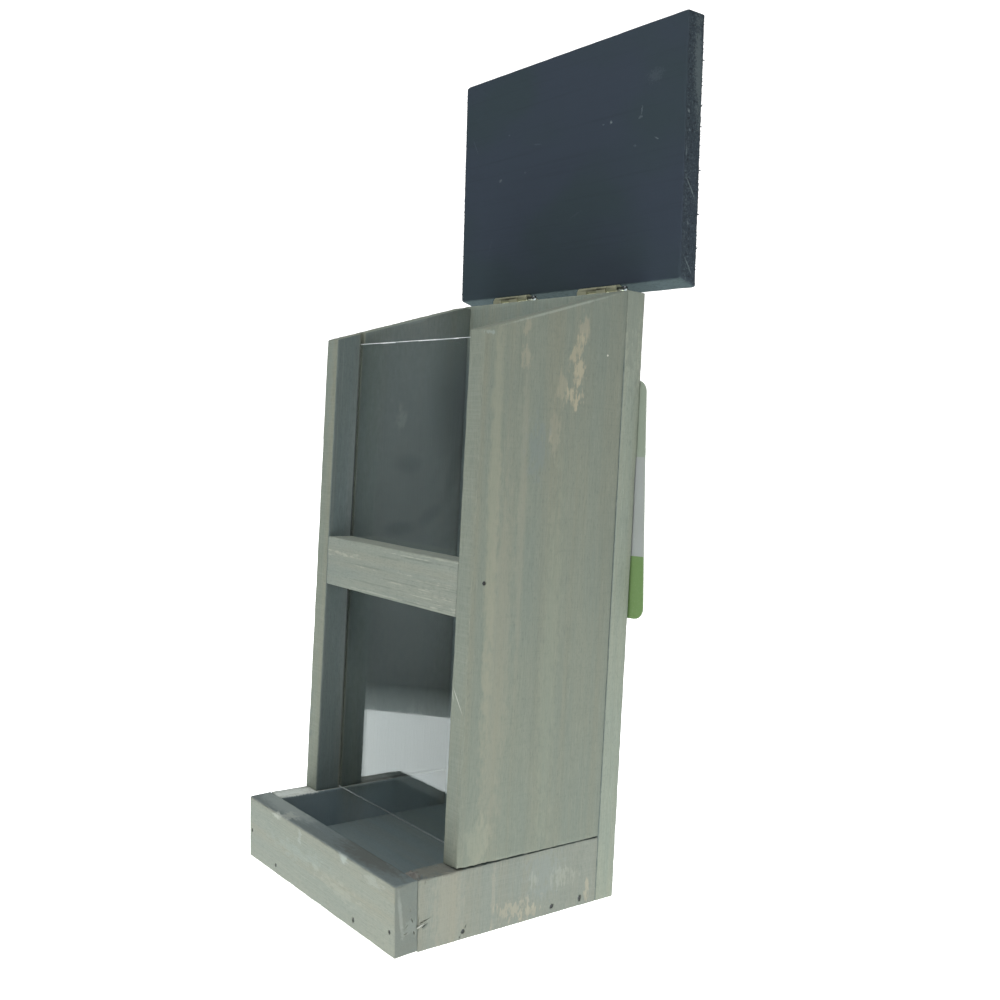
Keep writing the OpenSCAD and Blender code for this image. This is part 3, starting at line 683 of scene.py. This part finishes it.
for place, reach, axis, spin, tint, strength, ragged in [
        ((37.1, 83.6, 0), (1.3, 1.0, 1), "Z", 0, "#7d878a", 0.7, 3),
        ((31.6, 83.7, 0), (0.9, 0.5, 1), "Z", 0, "#5f6a70", 0.5, 2),
        ((59.4, 86, 0), (0.7, 2.6, 1), "Z", -12, "#626d72", 0.55, 3),
        ((58.6, 82.5, 0), (1.6, 0.9, 1), "Z", 0, "#626d72", 0.5, 3),
        ((70.3, 70.1, 0), (2.0, 0.5, 1), "Z", -30, "#6b767a", 0.6, 2),
        ((55.3, 68.8, 0), (1.2, 0.9, 1), "Z", 0, "#5b666c", 0.5, 3),
        ((-54, 67.4, 0), (1.8, 1.1, 1), "Z", 0, "#667174", 0.55, 3),
        ((-46.9, 92.2, 0), (1.2, 0.5, 1), "Z", 0, "#5c6770", 0.4, 2),
        ((-31.6, 68.7, 0), (1.1, 0.8, 1), "Z", 0, "#5a656b", 0.4, 2),
        ((68.2, 101, 0), (6, 4, 1), "Z", 0, "#4a545b", 0.4, 3),
        ((-79.1, 91.5, 0), (0.5, 7, 1), "Z", 30, "#4c575f", 0.4, 2),
        ((-21.8, 82.8, 0), (4, 0.5, 1), "Z", -8, "#4d5861", 0.5, 1),
        ((12, 40, 0), (0.6, 6, 1), "Z", -70, "#434d56", 0.3, 2),
        ((-62, 30, 0), (0.5, 9, 1), "Z", -20, "#434d56", 0.3, 2),
        ((RIGHT, 100, 8.2), (2, 33, 4), "X", 3, "#596466", 0.75, 2.5),
        ((RIGHT, 44, 5), (2, 8.4, 0.55), "X", 32, "#636f72", 0.85, 1),
        ((RIGHT, 6.5, 5.2), (2, 7.2, 0.5), "X", 35, "#636f72", 0.75, 1),
        ((RIGHT, 61, 1.3), (2, 5, 0.4), "X", 0, "#5d696d", 0.6, 1),
        ((RIGHT, 80, 2.2), (2, 1.3, 0.9), "X", 20, "#6f7a7d", 0.7, 2),
        ((RIGHT, 71, 3), (2, 1.0, 0.7), "X", 0, "#69757a", 0.6, 2),
        ((RIGHT, 27, 4), (2, 1.6, 0.7), "X", 30, "#626e73", 0.6, 2)]:
    middle = lid_place(np.array([place], float))[0]
    spun = (lid_axes @ Matrix.Rotation(math.radians(spin), 3, axis)).to_euler()
    lid_marks.append((middle, reach, [math.degrees(t) for t in spun], tint, strength, ragged))
paint = bpy.data.materials.new("Dark slate outdoor paint on pine")
paint.use_nodes = True
tree = paint.node_tree
shader = tree.nodes["Principled BSDF"]
# the paint is thin, so the rings show through it; torn end grain is drawn 0.9 mm coarse
skin = patterns(tree, 0, (2.5, 7.1, 0.3), {
    "cloud": (70, 110, 2), "ring": (2.6, 120, 3), "fibre": (0.5, 9, 2), "tear": (0.9, 1.2, 4),
    "patch": (1.7, 2, 3), "rag": (0.8, 1.0, 3)})
edge, end, rear = (add(tree, "ShaderNodeAttribute", {}, attribute_name=a).outputs["Fac"]
                   for a in ("arris", "end_grain", "hinge_edge"))
furry, pitted = (add(tree, "ShaderNodeMath", {0: skin[a], 1: end}, operation="MULTIPLY").outputs[0]
                 for a in ("tear", "patch"))
scuffed = add(tree, "ShaderNodeMath", {0: skin["rag"], 1: edge}, operation="MULTIPLY").outputs[0]
torn_rear = add(tree, "ShaderNodeMath", {0: skin["patch"], 1: rear},
                operation="MULTIPLY").outputs[0]
colour = coated(tree, linear("#343e4a"), [
    (skin["cloud"], 0.42, 0.62, 0.5, "#2f3f40"), (skin["ring"], 0.52, 0.8, 0.25, "#272f39"),
    (end, 0.2, 1.0, 0.7, "#323b43"), (furry, 0.52, 0.64, 0.6, "#535f63"),
    (pitted, 0.54, 0.66, 0.85, "#222930"), (scuffed, 0.46, 0.68, 0.4, "#5b666b"),
    # the hinged edge has the same dark paint but is coloured lighter: painted light for the glow it catches
    # from the table
    (rear, 0.0, 1.0, 0.85, "#4a585a"), (torn_rear, 0.5, 0.62, 0.4, "#2b3537")])
tree.links.new(marked(tree, colour, skin["place"], skin["rag"], lid_marks),
               shader.inputs["Base Color"])
tree.links.new(add(tree, "ShaderNodeMapRange", {"Value": rear, "To Min": 0.62,
                                                "To Max": 1.0}).outputs[0],
               shader.inputs["Roughness"])
shader.inputs["Specular IOR Level"].default_value = 0.3
height = add(tree, "ShaderNodeMath", {0: skin["fibre"], 1: 0.5, 2: skin["ring"]},
             operation="MULTIPLY_ADD").outputs[0]
rougher = add(tree, "ShaderNodeMath", {0: furry, 1: 2.0, 2: height},
              operation="MULTIPLY_ADD").outputs[0]
tree.links.new(add(tree, "ShaderNodeBump", {"Height": rougher, "Strength": 0.3,
                                            "Distance": 0.2 * MM}).outputs[0],
               shader.inputs["Normal"])
lid = piece("lid_board_dressed", lid_place(points), faces, [paint], arris=arrised,
            end_grain=ended, hinge_edge=hinged_edge)
lid.data.set_sharp_from_angle(angle=math.radians(60))
fray_random = random.Random(11)
tufts = []
for side in (-1, 1):
    for _ in range(150):
        from_edge, height = fray_random.uniform(2, LID_L - 2), fray_random.choice([0.4, LID_T - 0.4])
        tufts.append((side, from_edge, height, fray_random.uniform(0.1, 0.24),
                      fray_random.uniform(0.4, 1.2)))
    tufts += [(side, from_edge, LID_T - 0.3, 0.32, long) for from_edge, long in [
        (106, 2.6), (84, 1.9), (74, 1.7), (53, 1.8), (32, 2.0), (15.5, 1.7)]]
roots, aims = zip(*[((side * (RIGHT - 0.1), from_edge, height),
                     (side, fray_random.uniform(-0.7, 0.7), fray_random.uniform(-0.2, 0.5)
                      if height > 5 else fray_random.uniform(-0.5, 0.2)))
                    for side, from_edge, height, _, _ in tufts])
aims = lid_place(np.array(aims)) - lid_place(np.zeros((len(aims), 3)))
frayed(lid, [(root, aim, tuft[3], tuft[4])
             for root, aim, tuft in zip(lid_place(np.array(roots)), aims, tufts)])
mounted(lid, "lid_board", "lid")

# Butt hinges: pressed brass leaves rolled round steel pins. The press has softened the edges, and
# the sheared ones stay paler and duller than the rolled faces.
BARREL_R = 2
brass = bpy.data.materials.new("Pressed brass, slightly tarnished")
brass.use_nodes = True
tree = brass.node_tree
shader = tree.nodes["Principled BSDF"]
metal = patterns(tree, 0, (0, 0, 0), {"tarnish": (3, 4, 3), "rolled": (0.25, 4, 1)})
colour = coated(tree, linear("#bfc0a2"), [(metal["tarnish"], 0.45, 0.7, 0.5, "#a29c83")])
# a dark band along the front of each barrel is painted shade, for the shaded gap between the folded leaves
tree.links.new(marked(tree, colour, metal["place"], metal["tarnish"], [
    ((x, HINGE[1] - 1.2, HINGE[2] + 0.3), (17, 1.7, 1.1), (0, 0, 0), "#34342a", 0.9, 0.6)
    for x in (-39, 33)]),
               shader.inputs["Base Color"])
shader.inputs["Metallic"].default_value = 0.6
tree.links.new(add(tree, "ShaderNodeMapRange", {"Value": metal["tarnish"], "To Min": 0.22,
                                                "To Max": 0.6}).outputs[0],
               shader.inputs["Roughness"])
tree.links.new(add(tree, "ShaderNodeBump", {"Height": metal["rolled"], "Strength": 0.2,
                                            "Distance": 0.05 * MM}).outputs[0],
               shader.inputs["Normal"])
sheared = bpy.data.materials.new("Sheared brass edge")
sheared.use_nodes = True
tree = sheared.node_tree
shader = tree.nodes["Principled BSDF"]
torn_metal = patterns(tree, 2, (0, 0, 0), {"shear": (0.3, 1.2, 2)})
tree.links.new(coated(tree, linear("#d8d4bd"), [(torn_metal["shear"], 0.45, 0.65, 0.5, "#a9a48d")]),
               shader.inputs["Base Color"])
shader.inputs["Metallic"].default_value = 0.35
shader.inputs["Roughness"].default_value = 0.55
bright = bpy.data.materials.new("Bright drawn steel")
bright.use_nodes = True
tree = bright.node_tree
shader = tree.nodes["Principled BSDF"]
drawn = patterns(tree, 0, (0, 0, 0), {"line": (0.2, 6, 1)})
tree.links.new(coated(tree, linear("#8f9294"), [(drawn["line"], 0.4, 0.6, 1.0, "#6e7275")]),
               shader.inputs["Base Color"])
shader.inputs["Metallic"].default_value = 1.0
shader.inputs["Roughness"].default_value = 0.38


def softened(node, materials, ease):
    """A copy of a small CAD node with its edges eased, in the finish of the real part."""
    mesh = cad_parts[node].data.copy()
    mesh.name = node + "_dressed"
    loose = bmesh.new()
    loose.from_mesh(mesh)
    bmesh.ops.remove_doubles(loose, verts=loose.verts, dist=0.002 * MM)
    bmesh.ops.dissolve_limit(loose, angle_limit=math.radians(1), verts=loose.verts,
                             edges=loose.edges)
    for face in loose.faces:
        face.material_index = 0
    if ease:
        crisp = [e for e in loose.edges
                 if e.is_manifold and e.calc_face_angle() > math.radians(40)]
        bmesh.ops.bevel(loose, geom=crisp, offset=ease * MM, segments=2, profile=0.5,
                        affect="EDGES", clamp_overlap=True, material=len(materials) - 1)
    loose.to_mesh(mesh)
    loose.free()
    mesh.materials.clear()
    for material in materials:
        mesh.materials.append(material)
    mesh.shade_smooth()
    mesh.set_sharp_from_angle(angle=math.radians(35))
    made = bpy.data.objects.new(node + "_dressed", mesh)
    bpy.context.scene.collection.objects.link(made)
    return made


for side in ("left", "right"):
    for kind, body, flat in (("_fixed_leaf", "feeder_body", Vector((0, 1, 0))),
                             ("_moving_leaf", "lid", Matrix.Rotation(-LID_OPEN, 3, "X").col[1])):
        leaf = softened(side + kind, [brass, sheared], 0.15)
        for face in leaf.data.polygons:
            rolled = (face.center / MM - Vector(HINGE))[1:]
            if abs(face.normal.dot(flat)) < 0.8 and math.hypot(*rolled) > BARREL_R + 0.2:
                face.material_index = 1
        mounted(leaf, side + kind, body)
    mounted(softened(side + "_hinge_pin", [bright], 0), side + "_hinge_pin")

# Fixings: brass wood screws in the leaves and dark panel pins punched a little below the boards'
# faces. A node tree drives one along each place's aim and turns each by chance.


def fixing_tree(name, slotted):
    """A tree that drives a pin, or a screw with a cross slot, at each of its points."""
    tree = bpy.data.node_groups.new(name, "GeometryNodeTree")
    tree.interface.new_socket("Geometry", in_out="OUTPUT", socket_type="NodeSocketGeometry")
    for label, kind in [("Places", "Geometry"), ("Finish", "Material"), ("Head radius", "Float"),
                        ("Neck radius", "Float"), ("Head depth", "Float"), ("Length", "Float"),
                        ("Tip length", "Float"), ("Slot width", "Float"), ("Seed", "Int")]:
        tree.interface.new_socket(label, in_out="INPUT", socket_type="NodeSocket" + kind)
    given = tree.nodes.new("NodeGroupInput").outputs
    neck = given["Neck radius"]
    head = add(tree, "GeometryNodeMeshCone", {
        "Vertices": 20, "Radius Bottom": given["Head radius"], "Depth": given["Head depth"],
        "Radius Top": neck if slotted else given["Head radius"]}).outputs["Mesh"]
    if slotted:
        across = add(tree, "ShaderNodeMath", {0: given["Head radius"], 1: 1.3},
                     operation="MULTIPLY").outputs[0]
        slots = add(tree, "GeometryNodeJoinGeometry", {})
        for spin in (0.0, math.pi / 2):
            bar = add(tree, "ShaderNodeCombineXYZ", {0: across, 1: given["Slot width"],
                                                     2: given["Head depth"]}).outputs[0]
            bar = add(tree, "GeometryNodeMeshCube", {"Size": bar}).outputs["Mesh"]
            turned = add(tree, "GeometryNodeTransform", {"Geometry": bar,
                                                         "Rotation": (0.0, 0.0, spin)})
            tree.links.new(turned.outputs[0], slots.inputs[0])
        cut = add(tree, "GeometryNodeMeshBoolean", {"Mesh 1": head, "Self Intersection": True},
                  operation="DIFFERENCE", solver="EXACT")
        tree.links.new(slots.outputs[0], cut.inputs["Mesh 2"])
        head = cut.outputs["Mesh"]
    straight = add(tree, "ShaderNodeMath", {0: given["Length"], 1: given["Tip length"]},
                   operation="SUBTRACT").outputs[0]
    shank = add(tree, "GeometryNodeMeshCone", {"Vertices": 14, "Radius Top": neck,
                                               "Radius Bottom": neck, "Depth": straight})
    tip = add(tree, "GeometryNodeMeshCone", {"Vertices": 14, "Radius Top": 0.0,
                                             "Radius Bottom": neck, "Depth": given["Tip length"]})
    start = add(tree, "ShaderNodeMath", {0: given["Head depth"], 1: 0.8},
                operation="MULTIPLY").outputs[0]
    whole = add(tree, "GeometryNodeJoinGeometry", {})
    for part, rise in ((shank.outputs["Mesh"], start), (tip.outputs["Mesh"], straight)):
        rise = add(tree, "ShaderNodeCombineXYZ", {2: rise}).outputs[0]
        part = add(tree, "GeometryNodeTransform", {"Geometry": part, "Translation": rise})
        tree.links.new(part.outputs[0], whole.inputs[0])
    tree.links.new(head, whole.inputs[0])
    aim = add(tree, "GeometryNodeInputNamedAttribute", {"Name": "aim"},
              data_type="FLOAT_VECTOR").outputs["Attribute"]
    turned = add(tree, "FunctionNodeAlignRotationToVector", {"Vector": aim}, axis="Z").outputs[0]
    chance = add(tree, "FunctionNodeRandomValue", {3: 2 * math.pi, 8: given["Seed"]},
                 data_type="FLOAT").outputs[1]
    spin = add(tree, "FunctionNodeAxisAngleToRotation", {"Axis": (0.0, 0.0, 1.0),
                                                         "Angle": chance}).outputs[0]
    turned = add(tree, "FunctionNodeRotateRotation", {"Rotation": turned, "Rotate By": spin},
                 rotation_space="LOCAL").outputs[0]
    placed = add(tree, "GeometryNodeInstanceOnPoints", {
        "Points": given["Places"], "Instance": whole.outputs[0], "Rotation": turned})
    real = add(tree, "GeometryNodeRealizeInstances", {"Geometry": placed.outputs[0]})
    dressed = add(tree, "GeometryNodeSetMaterial", {"Geometry": real.outputs[0],
                                                    "Material": given["Finish"]})
    tree.links.new(dressed.outputs[0], tree.nodes.new("NodeGroupOutput").inputs[0])
    return tree


def driven(node, tree, places, sizes, finish, body):
    """The fixings of one CAD node, from (head's place in mm, direction) and sizes in mm."""
    where, aims = zip(*places)
    values = {label: size * MM for label, size in sizes.items()}
    mesh = grown(tree, where, {"aim": aims}, {**values, "Finish": finish, "Seed": len(where)})
    mesh.name = node + "_dressed"
    mesh.shade_smooth()
    mesh.set_sharp_from_angle(angle=math.radians(30))
    made = bpy.data.objects.new(node + "_dressed", mesh)
    bpy.context.scene.collection.objects.link(made)
    mounted(made, node, body)


iron = bpy.data.materials.new("Blackened steel pin")
iron.use_nodes = True
tree = iron.node_tree
shader = tree.nodes["Principled BSDF"]
rust = patterns(tree, 2, (0, 0, 0), {"bloom": (0.8, 0.8, 3)})
tree.links.new(coated(tree, linear("#1f2021"), [(rust["bloom"], 0.5, 0.7, 0.6, "#3f3730")]),
               shader.inputs["Base Color"])
shader.inputs["Metallic"].default_value = 0.2
shader.inputs["Roughness"].default_value = 0.55
pin_tree, screw_tree = fixing_tree("Panel pins", False), fixing_tree("Wood screws", True)
PIN_SET = 0.4
PIN = {"Head radius": 0.95, "Neck radius": 0.7, "Head depth": 0.6, "Length": 25, "Tip length": 1.8}
SCREW = {"Head radius": 2, "Neck radius": 1.1, "Head depth": 0.9, "Length": 9, "Tip length": 2.4,
         "Slot width": 0.5}
lean_in = Vector((0, math.cos(LEAN), math.sin(LEAN)))
rows = {"front_board_nails": [(place, lean_in) for place, _ in front_pins],
        "back_board_nails": back_pins}
for side, word in ((-1, "left"), (1, "right")):
    rows[word + "_floor_nails"] = [((side * half_w, y, 3.75), (-side, 0, 0))
                                   for y in (-28.35, 24.15, 42)]
rows["slat_nails"] = [((side * half_w, -26.5, 159.8), (-side, 0, 0)) for side in (-1, 1)]
for node, places in rows.items():
    sunk = [(Vector(place) + PIN_SET * Vector(aim), aim) for place, aim in places]
    driven(node, pin_tree, sunk, PIN, iron, "feeder_body")
screw_x = [centre + side * 8.7 for centre in (-39, 33) for side in (-1, 1)]
driven("fixed_leaf_screws", screw_tree, [((x, 65.5, 297.75), (0, -1, 0)) for x in screw_x],
       SCREW, brass, "feeder_body")
lid_screws = from_hinge(np.array([(x, -1.3, 6.25) for x in screw_x]))
driven("moving_leaf_screws", screw_tree,
       [(place, -Matrix.Rotation(-LID_OPEN, 3, "X").col[1]) for place in lid_screws],
       SCREW, brass, "lid")

# Label card: stiff printed card stapled behind the back board, left plain in its bands of colour.
# It has bowed a little away from the wood, and its edges show the white paper core.
card_finish = bpy.data.materials.new("Printed card, matt varnish")
card_finish.use_nodes = True
tree = card_finish.node_tree
shader = tree.nodes["Principled BSDF"]
CARD_LEAN = math.radians(2.4)
paper = patterns(tree, 2, (0, 0, 0), {"fleck": (0.6, 0.8, 3), "cloud": (18, 22, 2)})
upright = add(tree, "ShaderNodeMapping", {"Vector": paper["place"],
                                          "Rotation": (0.0, CARD_LEAN, 0.0)}).outputs[0]
height = add(tree, "ShaderNodeSeparateXYZ", {"Vector": upright}).outputs["Z"]
colour = linear("#74925b")
for level, tint in ((167, "#a9aeac"), (216, "#9aa595")):
    above = add(tree, "ShaderNodeMath", {0: height, 1: level * MM},
                operation="GREATER_THAN").outputs[0]
    colour = add(tree, "ShaderNodeMix", {0: above, 6: colour, 7: linear(tint)},
                 data_type="RGBA").outputs[2]
colour = coated(tree, colour, [(paper["fleck"], 0.55, 0.75, 0.12, "#dfe4de"),
                               (paper["cloud"], 0.5, 0.75, 0.12, "#8d9689")])
tree.links.new(colour, shader.inputs["Base Color"])
shader.inputs["Roughness"].default_value = 0.5
core = bpy.data.materials.new("Cut edge of white card")
core.use_nodes = True
tree = core.node_tree
shader = tree.nodes["Principled BSDF"]
cut_paper = patterns(tree, 2, (0, 0, 0), {"fluff": (0.4, 0.7, 3)})
tree.links.new(coated(tree, linear("#c3cabf"), [(cut_paper["fluff"], 0.4, 0.65, 0.7, "#98a38f")]),
               shader.inputs["Base Color"])
shader.inputs["Roughness"].default_value = 0.85
card = softened("label_card", [card_finish, core], 0)
low, size = span("label_card")
laid = bmesh.new()
laid.from_mesh(card.data)
for face in laid.faces:
    face.material_index = int(abs(face.normal.y) < 0.5)
for axis, step in ((0, 7), (2, 9)):
    for level in np.arange(low[axis] + step, low[axis] + size[axis], step):
        across = [float(i == axis) for i in range(3)]
        bmesh.ops.bisect_plane(laid, geom=laid.verts[:] + laid.edges[:] + laid.faces[:],
                               plane_co=[level * MM * i for i in across], plane_no=across)
for v in laid.verts:
    aside = (v.co.x / MM - low[0]) / size[0] * 2 - 1
    down = (low[2] + size[2] - v.co.z / MM) / size[2]
    v.co.y += MM * (0.9 * aside ** 2 * down + 0.7 * down ** 2)
laid.to_mesh(card.data)
laid.free()
card.data.set_sharp_from_angle(angle=math.radians(35))
mounted(card, "label_card")
mounted(softened("card_staple", [bright], 0), "card_staple")

# Studio: a bright white table under soft light, and the camera where the photograph was taken.
TABLE_GLOW, TABLE_SHINE, ROOM_LIGHT, ROOM_SHINE = 1.16, 2.55, 0.60, 0.14
EDGE_AWAY, EDGE_TURN = 0.348, math.radians(229.6)


def white_sheet(name, corners, z, glow, tint="#ffffff", shares=(1, 1, 1, 1), paint="#f4f4f4"):
    """A flat white sheet that gives off soft light, from its corners in metres and the share of
    the glow at each."""
    mesh = bpy.data.meshes.new(name)
    mesh.from_pydata([(x, y, z) for x, y in corners], [], [range(len(corners))])
    mesh.attributes.new("glow", "FLOAT", "POINT").data.foreach_set("value", shares)
    white = bpy.data.materials.new(name + " white")
    white.use_nodes = True
    tree = white.node_tree
    shine = tree.nodes["Principled BSDF"]
    shine.inputs["Base Color"].default_value = linear(paint)
    shine.inputs["Roughness"].default_value = 0.9
    shine.inputs["Emission Color"].default_value = linear(tint)
    share = add(tree, "ShaderNodeAttribute", {}, attribute_name="glow").outputs["Fac"]
    tree.links.new(add(tree, "ShaderNodeMath", {0: share, 1: glow},
                       operation="MULTIPLY").outputs[0], shine.inputs["Emission Strength"])
    mesh.materials.append(white)
    made = bpy.data.objects.new(name, mesh)
    bpy.context.scene.collection.objects.link(made)
    return made


def on_table(away, aside):
    """A point on the table, away from the feeder towards its near edge and aside along it."""
    c, s = math.cos(EDGE_TURN), math.sin(EDGE_TURN)
    return away * c - aside * s, away * s + aside * c


table_corners = [on_table(EDGE_AWAY, -0.6), on_table(EDGE_AWAY, 0.6),
                 on_table(-0.6, 0.6), on_table(-0.6, -0.6)]
table = white_sheet("Table", table_corners, -0.2 * MM, TABLE_GLOW)
table.visible_glossy = False
shine = white_sheet("Table as the pane shows it", table_corners, -0.3 * MM, TABLE_SHINE, "#e6f8f5")
blur = white_sheet("Table edge as the pane shows it", [
    on_table(EDGE_AWAY + 0.1, -0.6), on_table(EDGE_AWAY + 0.1, 0.6),
    on_table(EDGE_AWAY, 0.6), on_table(EDGE_AWAY, -0.6)], -0.3 * MM, 1.5, "#e6f8f5", (0, 0, 1, 1), "#000000")
for sheet in (shine, blur):
    sheet.visible_camera = sheet.visible_diffuse = sheet.visible_transmission = False
floor = white_sheet("Floor", [(-30, -30), (30, -30), (30, 30), (-30, 30)], -1 * MM, 1.4)
floor.visible_diffuse = floor.visible_glossy = floor.visible_transmission = False

world = bpy.data.worlds.new("Studio")
bpy.context.scene.world = world
world.use_nodes = True
tree = world.node_tree
room = tree.nodes["Background"]
room.inputs["Color"].default_value = linear("#f6f9fb")
room.inputs["Strength"].default_value = ROOM_LIGHT
backdrop = add(tree, "ShaderNodeBackground", {"Color": linear("#ffffff"), "Strength": 1.4})
gloom = add(tree, "ShaderNodeBackground", {"Color": linear("#e8eef2"), "Strength": ROOM_SHINE})
ray = add(tree, "ShaderNodeLightPath", {})
lit = add(tree, "ShaderNodeMixShader", {0: ray.outputs["Is Glossy Ray"], 1: room.outputs[0],
                                        2: gloom.outputs[0]})
both = add(tree, "ShaderNodeMixShader", {0: ray.outputs["Is Camera Ray"], 1: lit.outputs[0],
                                         2: backdrop.outputs[0]})
tree.links.new(both.outputs[0], tree.nodes["World Output"].inputs[0])


def soft_light(name, spot, aim, size, watts):
    """A large soft box at spot, turned to aim, in metres."""
    lamp = bpy.data.lights.new(name, "AREA")
    lamp.shape, lamp.size, lamp.energy = "DISK", size, watts
    box = bpy.data.objects.new(name, lamp)
    box.location = spot
    box.rotation_euler = (Vector(aim) - Vector(spot)).to_track_quat("-Z", "Y").to_euler()
    bpy.context.scene.collection.objects.link(box)


soft_light("Right soft box", (1.5, 0.3, 0.5), (0, 0, 0.15), 1.2, 1)
soft_light("Front soft box", (0.3, -1.7, 0.4), (0, 0, 0.15), 1.2, 1)
soft_light("Overhead soft box", (0.25, -0.6, 1.4), (0, 0, 0.1), 1.0, 8)

camera = bpy.data.cameras.new("Camera")
camera.sensor_width = 36
camera.lens = 36 * 1.1228
camera.shift_x, camera.shift_y = -0.0043, -0.0353
viewer = bpy.data.objects.new("Camera", camera)
viewer.location = (0.4637, -0.3316, 0.2235)
viewer.rotation_euler = [math.radians(t) for t in (88.80, -3.01, 51.62)]
bpy.context.scene.collection.objects.link(viewer)
bpy.context.scene.camera = viewer
bpy.context.scene.view_settings.view_transform = "Standard"
